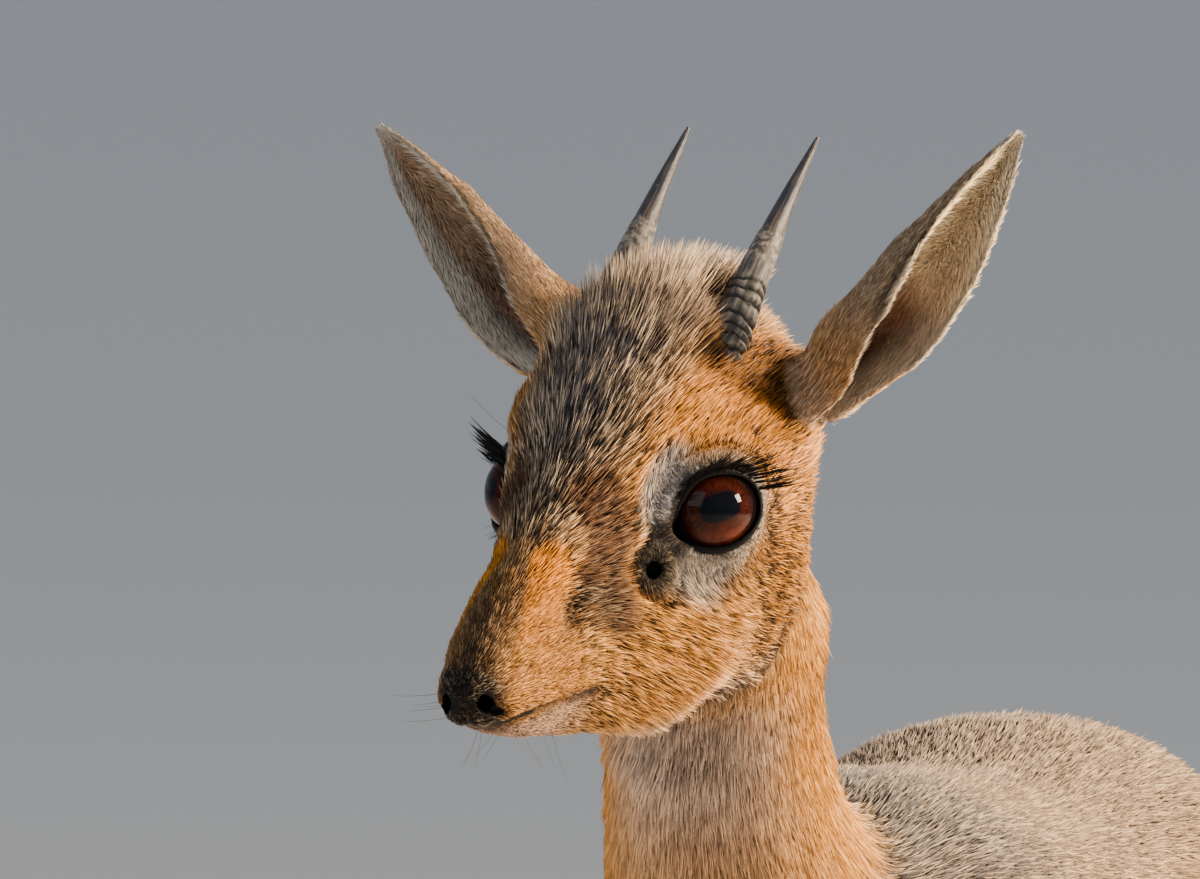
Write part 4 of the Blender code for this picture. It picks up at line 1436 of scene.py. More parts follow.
@dataclass
class Claw:
    """One of a foot's two claws: flat below, pointed in front, ridged by growth."""
    leg: str
    label: str
    foot: Pair
    width: float = 9.2
    length: float = 27.0
    height: float = 18.5
    sides: int = 40
    levels: int = 30
    stations: Table = ((0, 0.96, 0), (3, 1.0, 0.2), (8, 0.94, 1.2), (14, 0.84, 2.8),
                       (20, 0.74, 4.6))
    ridge: float = 0.012
    pinch: float = 0.42
    gap: float = 0.4
    ahead: float = 1.5

    def shell(self) -> Shell:
        """Lofts the claw from its sole upwards.

        Returns:
            The claw in the animal's frame.
        """
        inner = 1 if self.label == "a" else -1
        level = np.linspace(0, self.height, self.levels)
        size, back = smooth(self.stations, 1, level), smooth(self.stations, 2, level)
        ridge = 1 + self.ridge * np.sin(level * 2.4) * ease(level, 1, 3)
        angle = circle(self.sides)
        ahead = np.cos(angle)
        taper = 1 - self.pinch * np.maximum(0, ahead) ** 2
        flat = np.where(np.sin(angle) * inner < 0, 1.0, 0.0)
        spread = (size * ridge)[:, None]
        grow = np.where(flat > 0, 1.0, spread)
        x = 0.5 * self.width * 0.94 * np.sin(angle) * taper * grow
        y = -0.5 * self.length * ahead * spread + back[:, None]
        aside = inner * (0.5 * self.width + self.gap)
        centre = np.array((self.foot[0] + aside, self.foot[1] + self.ahead, 0))
        rings = np.stack([x, y, np.broadcast_to(level[:, None], x.shape)], -1) + centre
        return lofted(rings)

    def build(self, shift: Array) -> bpy.types.Object:
        """The finished claw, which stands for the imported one."""
        mesh = shell_mesh("claw", self.shell(), shift)
        return new_piece(f"claw_{self.leg}_{self.label}", mesh, HOOF,
                         (f"{self.leg}_hoof_{self.label}",))


@dataclass
class Ear:
    """One leaf-shaped ear rolled into a cup, with ridges down its inside."""
    mirror: int
    root: Triple
    tip: Triple
    facing: Triple
    twist: Pair
    columns: int = 39
    rings: int = 80
    skin_inset: float = 0.25
    inner_inset: float = 0.6
    edge_power: int = 6
    ridges: tuple[float, ...] = (-0.42, -0.12, 0.2, 0.48)
    ridge_reach: float = 0.07
    ridge_height: float = 0.55
    inner_lean: float = 0.55

    def shell(self) -> Shell:
        """Lofts the ear's wall, outside and inside, from root to tip.

        Returns:
            The ear in the head's frame, with its place, side and inside.
        """
        root, tip, facing = (on_side(place, self.mirror)
                             for place in (self.root, self.tip, self.facing))
        along = unit(tip - root)
        facing = unit(facing - along * (along @ facing))
        side_way = np.cross(along, facing)
        length = float(np.linalg.norm(tip - root))
        t = np.linspace(0, 1, self.rings)[:, None]
        radius, reach, wall, shift = (smooth(EAR_SECTIONS, c, t) for c in range(1, 5))
        reach = np.radians(reach)
        even = np.linspace(-1, 1, self.columns)[None, :]
        across = 0.4 * even + 0.6 * np.sin(0.5 * math.pi * even)
        thin = 0.5 * wall * np.abs(across) ** self.edge_power
        ridges = sum(bell(across - at, self.ridge_reach) for at in self.ridges)
        ridges = self.ridge_height * ridges * ease(t, 0.2, 0.4) * ease(t, 0.92, 0.7)
        inset = self.skin_inset * ease(t, 1.0, 0.9)
        outer = radius - thin - inset
        inner = radius - wall + thin + inset * self.inner_inset - ridges
        turn = np.radians(self.twist[0] + (self.twist[1] - self.twist[0]) * t)
        facing, side_way = (facing * np.cos(turn) + side_way * np.sin(turn),
                            side_way * np.cos(turn) - facing * np.sin(turn))
        centre = root + along * (length * t) + facing * shift
        walls = []
        for away, order in ((outer, slice(None)), (inner, slice(None, None, -1))):
            angle = (reach * across)[:, order]
            away = np.broadcast_to(away, (self.rings, self.columns))[:, order]
            walls.append(rings_round(centre, facing, -away * np.cos(angle),
                                     side_way, away * np.sin(angle)))
        rings = np.concatenate(walls, 1)
        count = self.columns * 2
        faces = grid_faces(self.rings, count)
        for start in (0, (self.rings - 1) * count):
            for i in range(self.columns - 1):
                quad = (start + i, start + i + 1, start + count - 2 - i, start + count - 1 - i)
                faces.append(quad[::-1] if start == 0 else quad)
        made = Shell(rings.reshape(-1, 3), faces, Part.EAR)
        shape = (self.rings, count)
        both = np.concatenate([across[0], across[0][::-1]])
        made.across = np.broadcast_to(both, shape).ravel()
        made.place = np.broadcast_to(t, shape).ravel()
        made.inner = np.broadcast_to(np.arange(count) >= self.columns, shape).ravel().astype(float)
        middle = unit(-np.sign(made.across)[:, None] * np.repeat(side_way, count, 0))
        lean = self.inner_lean * made.inner * np.abs(made.across) ** 2
        made.lie = unit(along + middle * lean[:, None])
        return made.facing_out()


def ears() -> list[Ear]:
    """The two ears, each turned its own way."""
    return [Ear(1, (24, -36, 8), (85.0, -50.2, 76.0), (0.89, 0.15, -0.40), (-6, -40)),
            Ear(-1, (24, -36, 8), (87.0, -49.6, 65.0), (-0.10, 0.99, 0.02), (-38, 20))]


@dataclass
class HeadForm:
    """The head's own shape: a loft, swellings, orbits, and the finer forms of the face."""
    step: float = 0.95
    sides: int = 156
    snout: Pair = (10, 50)
    upper_power: Pair = (2.0, 0.25)
    lower_power: Pair = (2.5, 0.5)
    orbit_angles: Pair = (48, 92)
    orbit_reach: Pair = (15.5, 25)
    mouth_front: float = -25.6
    mouth_core: float = 66.0
    groove: float = 1.7
    lip: float = 0.45

    def plain(self) -> Array:
        """Makes the loft's rings before any sculpting.

        Returns:
            The points as (ring, side, xyz).
        """
        forward = np.arange(HEAD[0][0], HEAD[-1][0] + 0.05, self.step)
        angle = circle(self.sides)
        rings = []
        for f in forward:
            top, bottom, half, level = (float(smooth(HEAD, c, f)) for c in range(1, 5))
            snout = float(ease(f, *self.snout))
            sine = np.sin(angle)
            upper, lower = (start - drop * snout
                            for start, drop in (self.upper_power, self.lower_power))
            power = np.where(sine > 0, upper, lower)
            c, s = squared(np.cos(angle), power), squared(sine, power)
            high = np.where(sine > 0, top - level, level - bottom)
            rings.append(np.stack([c * half, np.full(self.sides, -f), level + s * high], 1))
        return np.array(rings)

    def sculpted(self, points: Array) -> Array:
        """Shapes the plain loft by its swellings and orbits.

        Args:
            points: points of the plain loft.

        Returns:
            The points after their shifts.
        """
        shift = np.zeros_like(points)
        for mirror in BOTH_SIDES:
            for place, reach, amount in SWELLINGS:
                weight = bell(place_distance(points, place, mirror), reach)
                shift += weight[:, None] * on_side(amount, mirror)
        points = points + shift
        for mirror in BOTH_SIDES:
            centre, gaze, _, _ = EYES.axes(mirror)
            ray = points - centre
            length = np.linalg.norm(ray, axis=1)
            away = np.degrees(np.arccos(np.clip(unit(ray) @ gaze, -1, 1)))
            weight = (1 - ease(away, *self.orbit_angles)) * (1 - ease(length, *self.orbit_reach))
            wanted = length + (EYES.radius + EYES.lid_depth - length) * weight
            points = centre + unit(ray) * wanted[:, None]
        return points

    def mouth_line(self, tree: BVHTree) -> Array:
        """Finds the mouth's line on the surface.

        Args:
            tree: the head's surface.

        Returns:
            The line's points, from the right corner to the left.
        """
        front = tree.ray_cast(Vector((0, -120, self.mouth_front)), Vector((0, 1, 0)))[0]
        path = []
        for mirror in (-1, 1):
            side = []
            for left, forward, up in MOUTH_PATH:
                aim = Vector(local(0, min(forward, self.mouth_core), up))
                away = (Vector(local(left * mirror, forward, up)) - aim).normalized()
                side.append(tree.ray_cast(aim + away * 60, -away)[0])
            path += side[::-1] + [front] if mirror < 0 else side
        return np.array([tuple(p) for p in path])

    def detailed(self, points: Array, normals: Array, mouth: Array) -> Array:
        """Lids, tear groove, gland, nostrils, lips and folds, drawn up from the smooth surface.

        Args:
            points: points of the head's frame.
            normals: their normals.
            mouth: the mouth's line.

        Returns:
            The points after their shifts.
        """
        rise = np.zeros(len(points))
        for mirror in BOTH_SIDES:
            far, _, y = EYES.lid_place(points, mirror)
            above, below = ease(y, -0.15, 0.35), ease(y, 0.1, -0.4)
            for share, folds in ((above, UPPER_LID), (below, LOWER_LID)):
                rise += share * sum(height * bell(far - at, reach) for height, at, reach in folds)
            away = place_distance(points, GLAND, mirror)
            rise += 0.55 * bell(away - 3.9, 1.3) - 0.9 * bell(away - 6.6, 1.6)
            rise -= 0.7 * bell(path_distance(points, TEAR_LINE, mirror), 1.1)
            rise -= 1.6 * bell(path_distance(points, FACE_HOLLOW, mirror), 3.7)
            ring = np.linalg.norm((points - on_side(NOSTRIL, mirror)) * (1.0, 0.9, 0.72), axis=1)
            rise += 0.6 * bell(ring - 3.9, 0.9)
            for fold in LIP_FOLDS:
                rise -= 0.22 * bell(path_distance(points, fold, mirror), 0.9)
            rise -= 0.9 * bell(path_distance(points, WHISKER_CREASE, mirror), 1.5)
            rise += 0.9 * bell(path_distance(points, LIP_CUSHION, mirror), 4.0)
        line = segment_distance(points, mouth)
        low = ease(points[:, 2], -24.5, -27.0)
        rise += (-self.groove * bell(line, 0.75)
                 + self.lip * bell(line - 1.9, 1.0) * (0.7 + 0.9 * low))
        front = ease(-points[:, 1], 70, 75)
        rise -= 0.55 * front * bell(points[:, 0], 0.7) * bell(points[:, 2] + 22.5, 3.2)
        return points + normals * rise[:, None]

    def depth(self, points: Array) -> Array:
        """How far the skin lies inside the coat's outline at points of the head's frame.

        Args:
            points: points of the head's frame.

        Returns:
            The depth in millimetres.
        """
        forward = -points[:, 1]
        deep = 1.25 - 0.95 * ease(forward, 30, 70) + 0.5 * ease(forward, 0, -40)
        deep += 1.0 * ease(points[:, 2], 24, 34) * ease(forward, 24, 6)
        for mirror in BOTH_SIDES:
            far, _, _ = EYES.lid_place(points, mirror)
            deep = deep + (0.45 - deep) * ease(far, 2.0, 1.3)
        return deep

    def build(self) -> tuple[Shell, Array]:
        """Makes the head.

        Returns:
            Its skin and the mouth's line, in the head's own frame.
        """
        rings = self.plain()
        shape = rings.shape
        made = lofted(self.sculpted(rings.reshape(-1, 3)).reshape(shape), Part.HEAD)
        tree = BVHTree.FromPolygons([Vector(p) for p in made.points], made.faces)
        mouth = self.mouth_line(tree)
        mesh = bpy.data.meshes.new("head_form")
        mesh.from_pydata(made.points, [], made.faces)
        mesh.update()
        normals = normals_of(mesh)
        bpy.data.meshes.remove(mesh)
        made.points = made.points - normals * self.depth(made.points)[:, None]
        made.points = self.detailed(made.points, normals, mouth)
        made.lie = np.tile(np.array((0, 1.0, 0)), (len(made.points), 1))
        return made, mouth


@dataclass
class BodyForm:
    """Trunk, neck, legs and tail, fused into one closed skin."""
    voxel: float = 2.35
    relax_rounds: int = 16
    barrel: float = 2.15
    trunk_sides: int = 84
    trunk_step: float = 3.5
    lean: Triple = (0.0, 1.0, -0.28)
    soft_from: float = 225.0
    soft_over: float = 35.0
    depth_rounds: int = 12
    depth: dict[Part, float] = field(default_factory=lambda: {
        Part.TRUNK: 2.2, Part.NECK: 1.7, Part.FORELEG: 0.9, Part.HINDLEG: 0.9, Part.TAIL: 1.2})

    def trunk(self) -> Shell:
        """Lofts the body from the point of the chest to the buttocks.

        Returns:
            The closed barrel.
        """
        spots = np.arange(TRUNK[0][0], TRUNK[-1][0] + 1, self.trunk_step)
        angle = circle(self.trunk_sides)
        c, s = squared(np.cos(angle), self.barrel), squared(np.sin(angle), self.barrel)
        rings = []
        for y in spots:
            top, bottom, half, level = (float(smooth(TRUNK, k, y)) for k in range(1, 5))
            high = np.where(s > 0, top - level, level - bottom)
            rings.append(np.stack([c * half, np.full(len(c), y), level + s * high], 1))
        lie = np.tile(np.array(self.lean), (len(spots), 1))
        return lofted(np.array(rings), Part.TRUNK, lie, spots)

    def limb(self, table: Table, step: float, sides: int, part: Part, mirror: int = 1,
             stride: float = 0.0) -> Shell:
        """A closed tube through stations.

        Args:
            table: rows of place, x, y, z, half across, half fore and aft.
            step: the distance between rings.
            sides: the points of each ring.
            part: the part that it is.
            mirror: 1 for the left side and -1 for the right.
            stride: how far the foot stands from the table's place.

        Returns:
            The tube, with its coat lying down its length.
        """
        places = np.arange(table[0][0], table[-1][0] + step / 2, step)
        x, y, z, wide, deep = (smooth(table, c, places) for c in range(1, 6))
        centres = np.stack([x * mirror, y + stride * ease(300 - z, 0, 260), z], 1)
        ahead = centres[np.minimum(np.arange(len(places)) + 1, len(places) - 1)] \
            - centres[np.maximum(np.arange(len(places)) - 1, 0)]
        along = unit(ahead)
        side = np.array((1.0, 0, 0))
        across = unit(side - along * along[:, :1])
        over = np.cross(along, across)
        angle = circle(sides)
        rings = rings_round(centres, across, wide[:, None] * np.cos(angle),
                            over, deep[:, None] * np.sin(angle))
        lie = -along if part is Part.NECK else along
        return lofted(rings, part, lie, places)

    def shells(self) -> list[Shell]:
        """Makes the plain tubes that the body is fused from.

        Returns:
            Trunk, neck, tail and legs.
        """
        made = [self.trunk(), self.limb(NECK, 4, 64, Part.NECK),
                self.limb(TAIL, 3, 24, Part.TAIL)]
        for mirror in BOTH_SIDES:
            made.append(self.limb(FORELEG, 3, 36, Part.FORELEG, mirror, FORE_STRIDE[mirror]))
            made.append(self.limb(HINDLEG, 3, 36, Part.HINDLEG, mirror, HIND_STRIDE[mirror]))
        return made

    def build(self, shells: list[Shell]) -> bpy.types.Object:
        """Fuses the body and shrinks it by the depth of its coat.

        Args:
            shells: the tubes that it is fused from.

        Returns:
            The body as one object.
        """
        points = np.concatenate([s.points for s in shells])
        faces, start = [], 0
        for shell in shells:
            faces += [tuple(i + start for i in face) for face in shell.faces]
            start += len(shell.points)
        body = work_object("body", Shell(points, faces))
        fuse = body.modifiers.new("Fuse", "REMESH")
        fuse.mode = "VOXEL"
        fuse.voxel_size = self.voxel * MM
        apply_modifiers(body)
        spots, edges = points_of(body.data), edges_of(body.data)
        soft = np.clip((spots[:, 2] - self.soft_from) / self.soft_over, 0, 1)
        spots = evened(spots, edges, self.relax_rounds, soft)
        set_points(body.data, spots)
        owner = nearest(shells, spots)
        deep = np.array([self.depth[Part(p)] for p in owner.part])
        deep = evened(deep, edges, self.depth_rounds)
        set_points(body.data, spots - normals_of(body.data) * deep)
        return body


@dataclass
class Owner:
    """What each point of a skin takes from the nearest point of the shells."""
    part: Array
    lie: Array
    place: Array
    across: Array
    inner: Array


def nearest(shells: list[Shell], points: Array) -> Owner:
    """For each point, what the nearest shell point knows.

    Args:
        shells: the shells that the skin was fused from.
        points: the skin's points.

    Returns:
        Part, lie, place, side and inside of each point.
    """
    tree = kd_tree(np.concatenate([s.points for s in shells]))
    columns = {name: [] for name in ("part", "lie", "place", "across", "inner")}
    for shell in shells:
        count = len(shell.points)
        columns["part"].append(np.full(count, int(shell.part)))
        columns["lie"].append(shell.lie)
        for name in ("place", "across", "inner"):
            value = getattr(shell, name)
            columns[name].append(np.zeros(count) if value is None else value)
    found = np.array([tree.find(point)[1] for point in points])
    return Owner(**{name: np.concatenate(value)[found] for name, value in columns.items()})


@dataclass(frozen=True)
class Palette:
    """The coat's colours, some of them painted light and shade: sunlight on the nasal bridge and
    the ears, and shade in the face's hollow, on the withers, and in pits and gaps.
    """
    tan: Triple = (212, 146, 62)
    orange: Triple = (198, 126, 20)
    crown: Triple = (144, 118, 100)
    slate: Triple = (104, 100, 114)
    snout: Triple = (108, 76, 50)
    midface: Triple = (98, 64, 40)
    hollow_shade: Triple = (60, 40, 27)
    ring: Triple = (226, 206, 190)
    silver: Triple = (176, 170, 174)
    throat: Triple = (228, 202, 186)
    neck: Triple = (250, 176, 80)
    shaded_withers: Triple = (96, 88, 88)
    sunlit_bridge: Triple = (228, 142, 22)
    muzzle: Triple = (194, 128, 50)
    back: Triple = (144, 118, 98)
    flank: Triple = (176, 130, 80)
    belly: Triple = (224, 208, 188)
    leg: Triple = (186, 128, 60)
    shin: Triple = (168, 116, 58)
    leather: Triple = (16, 12, 12)
    gland: Triple = (44, 33, 29)
    pit_shade: Triple = (6, 4, 4)
    lip: Triple = (190, 150, 126)
    ear_back: Triple = (158, 130, 104)
    ear_inside: Triple = (142, 102, 80)
    ear_fawn_and_sunlit: Triple = (216, 174, 134)
    ear_sunlit_inside: Triple = (255, 230, 190)
    ear_pale: Triple = (216, 200, 180)
    ear_dark: Triple = (46, 36, 32)


@dataclass
class Look:
    """The tone, grizzle, bareness and contrast at each point of the skin."""
    tone: Array
    grizzle: Array
    bare: Array
    contrast: Array

    def paint(self, tint: Triple, weight: Array,
              grizzle: float | Array | None = None, bare: float | None = None) -> None:
        """Lays a tint over the tone.

        Args:
            tint: the colour, from 0 to 255.
            weight: how much of it each point takes.
            grizzle: the grizzle that goes with it, or None to leave that as it is.
            bare: the bareness that goes with it, or None.
        """
        weight = np.clip(weight, 0, 1)
        self.tone = mix(self.tone, colour(*tint), weight)
        if grizzle is not None:
            self.grizzle = self.grizzle * (1 - weight) + grizzle * weight
        if bare is not None:
            self.bare = self.bare * (1 - weight) + bare * weight


@dataclass
class Markings:
    """The animal's markings, for skin and coat alike."""
    palette: Palette = field(default_factory=Palette)

    def body(self, look: Look, spots: Array, normals: Array, owner: Owner,
             near_neck: Array) -> None:
        """Colours trunk, neck, legs and tail.

        Args:
            look: what is painted.
            spots: the points in the animal's frame.
            normals: their normals.
            owner: what each point belongs to.
            near_neck: 1 on the neck and 0 away from it.
        """
        p = self.palette
        z, up, front = spots[:, 2], normals[:, 2], -normals[:, 1]
        trunk = (owner.part == Part.TRUNK) | (owner.part == Part.TAIL)
        back = ease(up, -0.1, 0.75) * ease(z, 300, 350)
        look.paint(p.flank, np.ones(len(z)), 0.45)
        look.paint(p.back, back, 0.5)
        # Painted shade on the withers, over their own grey-brown hair.
        look.paint(p.shaded_withers, back * ease(spots[:, 1], -30, -105), 0.5)
        look.paint(p.belly, trunk * ease(up, -0.35, -0.85) * ease(z, 285, 262), 0.1)
        neck = ease(near_neck, 0.25, 0.85) * ease(z, 330, 385)
        look.paint(p.neck, neck, 0.35)
        look.paint(p.orange, neck * ease(np.abs(normals[:, 0]), 0.5, 0.95) * 0.45, 0.25)
        look.paint(p.throat, neck * ease(front, 0.2, 0.95) * (0.5 + 0.4 * ease(z, 368, 388)),
                   0.4)
        look.paint(p.back, neck * ease(-front, 0.4, 0.85) * 0.6, 0.7)
        legs = ((owner.part == Part.FORELEG) | (owner.part == Part.HINDLEG)).astype(float)
        look.paint(p.leg, legs * ease(z, 300, 235), 0.25)
        look.paint(p.shin, legs * ease(z, 120, 60), 0.2)
        look.paint(p.belly, legs * ease(np.abs(spots[:, 0]), 34, 22) * ease(z, 130, 210) * 0.7,
                   0.1)
        aside = np.abs(spots[:, 0])
        rump = trunk * ease(spots[:, 1], 150, 185) * ease(z, 345, 315) * ease(z, 276, 300)
        look.paint(p.belly, rump * ease(aside, 52, 30) * 0.75, 0.1)
        look.paint(p.belly, ease(aside, 28, 18) * ease(spots[:, 1], 100, 140)
                   * ease(z, 335, 312) * (owner.part != Part.TAIL) * 0.85, 0.1)

    def head(self, look: Look, points: Array, normals: Array, mouth: Array,
             weight: Array) -> None:
        """Colours the head.

        Args:
            look: what is painted.
            points: the points in the head's frame.
            normals: their normals in it.
            mouth: the mouth's line.
            weight: 1 on the head and 0 elsewhere.
        """
        p = self.palette
        side, forward, up = np.abs(points[:, 0]), -points[:, 1], points[:, 2]
        look.paint(p.tan, weight, 0.32)
        look.paint(p.orange, weight * ease(up, -6, 12) * ease(side, 12, 21)
                   * ease(forward, 26, 8), 0.25)
        look.paint(p.orange, weight * ease(forward, 2, -10) * ease(up, 30, 16) * 0.75, 0.22)
        top = ease(normals[:, 2], 0.1, 0.6)
        narrow = 15 - 8 * ease(forward, 5, 46)
        streak = weight * top * ease(side, narrow + 5, narrow - 4)
        look.paint(p.crown, streak * ease(forward, 60, 34), 0.6 + 0.3 * ease(forward, -10, 5))
        look.paint(p.slate, streak * bell(forward - 12, 17) * ease(side, narrow - 2, narrow - 9)
                   * 0.85, 1.0)
        look.paint(p.crown, weight * ease(forward, -30, -50) * ease(up, -10, 15) * 0.6, 0.6)
        look.paint(p.snout, weight * ease(forward, 42, 62) * ease(side, 12, 3) * 0.85, 0.35)
        for mirror in BOTH_SIDES:
            look.paint(p.muzzle, weight * ease(side, 6, 10) * ease(forward, 44, 56) * 0.8, 0.3)
            # Painted shade: the whisker crease darkened along its fold.
            crease = path_distance(points, WHISKER_CREASE, mirror)
            look.paint(p.snout, weight * ease(crease, 2.2, 0.8) * 0.6, 0.2)
            away = path_distance(points, MIDFACE_PATH, mirror)
            look.paint(p.midface, weight * ease(away, 9.5, 4), 0.12)
            # Painted sunlight: the plane of the nasal bridge turned bright orange.
            away = path_distance(points, SUNLIT_BRIDGE_PATH, mirror)
            look.paint(p.sunlit_bridge, weight * ease(away, 5.4, 3.8), 0.05)
            # Painted shade: the hollow behind the nasal swelling darkened, over its own darker
            # hair.
            away = path_distance(points, HOLLOW_SHADE_PATH, mirror)
            look.paint(p.hollow_shade, weight * bell(away, 3.4) * 0.8, 0.4)
        look.paint(p.leather, weight * ease(side, 2.6, 0.6) * ease(forward, 50, 70) * top * 0.45)
        look.paint(p.throat, weight * ease(up, -38, -48) * 0.6, 0.3)
        for mirror in BOTH_SIDES:
            self.round_eye(look, points, weight, mirror)
        line = groove_distance(points, mouth)
        low = ease(up, -25.6, -27.4) * ease(forward, 40, 50)
        look.paint(p.lip, weight * low * 0.9, 0.15)
        look.paint(p.leather, weight * bell(side - 4, 3.4) * ease(forward, 66, 71)
                   * bell(up + 28, 2.0) * 0.7, 0.1)
        # Painted shade: the mouth's corner darkened where its gap is deepest.
        corner = np.minimum(*(path_distance(points, MOUTH_PATH[-2:], mirror)
                              for mirror in BOTH_SIDES))
        look.paint(p.gland, weight * ease(corner, 2.6, 1.2) * 0.7, 0.2)
        look.paint(p.leather, weight * ease(line, 1.45, 0.75), 0.0, 1.0)
        # Painted shade: near-black at the bottom of the mouth's groove.
        look.paint(p.pit_shade, weight * ease(line, 0.9, 0.4), 0.0, 1.0)
        pad = ease(side, 9.0, 6.4) * ease(up, -27.5, -25.0) * ease(up, -9.0, -14.0)
        look.paint(p.gland, weight * pad * ease(forward, 70.5, 73.6), 0.45)
        look.paint(p.leather, weight * bell(side, 3.6) * ease(forward, 72.0, 75.0)
                   * bell(up + 16.5, 3.0) * 0.8, 0.2)
        for mirror in BOTH_SIDES:
            under = path_distance(points, NOSTRIL_TO_LIP, mirror)
            look.paint(p.leather, weight * ease(under, 2.6, 1.2) * 0.95, 0.0, 0.6)

    def round_eye(self, look: Look, points: Array, weight: Array, mirror: int) -> None:
        """Paints one eye's pale ring, its dark lids, and the gland with its tear line.

        Args:
            look: what is painted.
            points: the points in the head's frame.
            weight: 1 on the head and 0 elsewhere.
            mirror: 1 for the left eye and -1 for the right.
        """
        p = self.palette
        far, x, y = EYES.lid_place(points, mirror)
        front, below, above = ease(x, 0.1, -0.9), ease(y, 0.2, -0.8), ease(y, 0.1, 0.7)
        reach = 1.24 + 0.34 * below * ease(x, 0.8, -0.1) + 0.56 * front + 0.12 * above
        ring = weight * ease(far, reach + 0.28, reach - 0.28)
        look.paint(p.ring, ring, 0.6)
        look.contrast *= 1 - 0.2 * ring
        look.paint(p.silver, ring * front * ease(y, -0.9, -0.1), 0.85)
        look.paint(p.leather, weight * ease(far, 1.32, 1.18) * above * (1 - front), 0.0, 0.2)
        edge = 1.12 + 0.06 * above - 0.05 * ease(x, 0.3, 0.9)
        look.paint(p.leather, weight * ease(far, edge + 0.06, edge - 0.04), 0.0, 1.0)
        away = place_distance(points, GLAND, mirror)
        tear = path_distance(points, TEAR_LINE, mirror)
        look.paint(p.leather, weight * ease(tear, 3.5, 1.8), 0.1, 0.6)
        between = path_distance(points, EYE_TO_GLAND, mirror)
        look.paint(p.gland, weight * ease(between, 4.2, 1.8) * 0.9, 0.4)
        look.paint(p.gland, weight * ease(away, 6.8, 4.4), 0.35)
        # Painted shade: near-black in the gland's pit, over its dark skin.
        look.paint(p.pit_shade, weight * ease(away, 2.6, 2.1), 0.0, 1.0)

    def ear(self, look: Look, owner: Owner, left: Array) -> None:
        """Colours the ears, outside and inside, with painted sunlight on the right one's back and
        inside the left one.

        Args:
            look: what is painted.
            owner: what each point belongs to.
            left: 1 on the animal's left and 0 on its right.
        """
        p = self.palette
        ear = (owner.part == Part.EAR).astype(float)
        t, across = owner.place, np.abs(owner.across)
        outside, inside = ear * (1 - owner.inner), ear * owner.inner
        look.paint(p.ear_back, outside, 0.5)
        # Painted sunlight: the right ear's back turned fawn, as lit from the right.
        look.paint(p.ear_fawn_and_sunlit, outside * (1 - left) * 0.9, 0.4)
        look.paint(p.tan, outside * ease(t, 0.45, 0.15) * 0.6, 0.4)
        look.paint(p.ear_pale, outside * ease(t, 0.2, 0.06) * 0.55, 0.3)
        look.paint(p.ear_dark, outside * ease(across, 0.82, 0.92) * ease(t, 0.28, 0.5) * 0.85,
                   0.3)
        look.paint(p.ear_pale, outside * ease(across, 0.94, 0.975) * 0.7, 0.1)
        look.paint(p.ear_inside, inside, 0.2, 0.4)
        patches = 0.5 + 0.5 * np.sin(19 * t + 4 * owner.across) * np.sin(7 * owner.across + 9 * t)
        look.paint(p.ear_dark, inside * ease(patches, 0.55, 0.85) * 0.7, 0.3, 0.2)
        # Painted shade deep in the ear's cup near its root, over its bare dark skin.
        look.paint(p.ear_dark, inside * ease(t, 0.40, 0.18) * ease(across, 0.95, 0.45) * 0.75, 0.3,
                   0.3)
        look.paint(p.ear_pale, inside * ease(across, 0.46, 0.76), 0.25, 0.0)
        # The fawn inside both ears is their own colour.
        look.paint(p.ear_fawn_and_sunlit, inside * ease(t, 0.36, 0.62) * ease(across, 0.85, 0.35) * 0.5,
                   0.5, 0.0)
        # Painted sunlight: the upper inside of the left ear turned pale, as lit from the right.
        lit = inside * left * ease(t, 0.34, 0.5)
        look.paint(p.ear_sunlit_inside, lit, 0.5, 0.0)
        look.contrast *= 1 - 0.15 * lit
        look.paint(p.ear_pale, ear * ease(t, 0.86, 0.97) * 0.9, 0.2, 0.0)


@dataclass
class Hair:
    """The sizes of the tufts at each point of the skin."""
    length: Array
    width: Array
    density: Array
    lift: Array

    def set(self, weight: Array, kind: Fur) -> None:
        """Turns the sizes towards a kind of tuft.

        Args:
            weight: how much each point takes part.
            kind: the kind.
        """
        weight = np.clip(weight, 0, 1)
        for name, value in zip(("length", "width", "density", "lift"), kind.value):
            setattr(self, name, getattr(self, name) * (1 - weight) + value * weight)


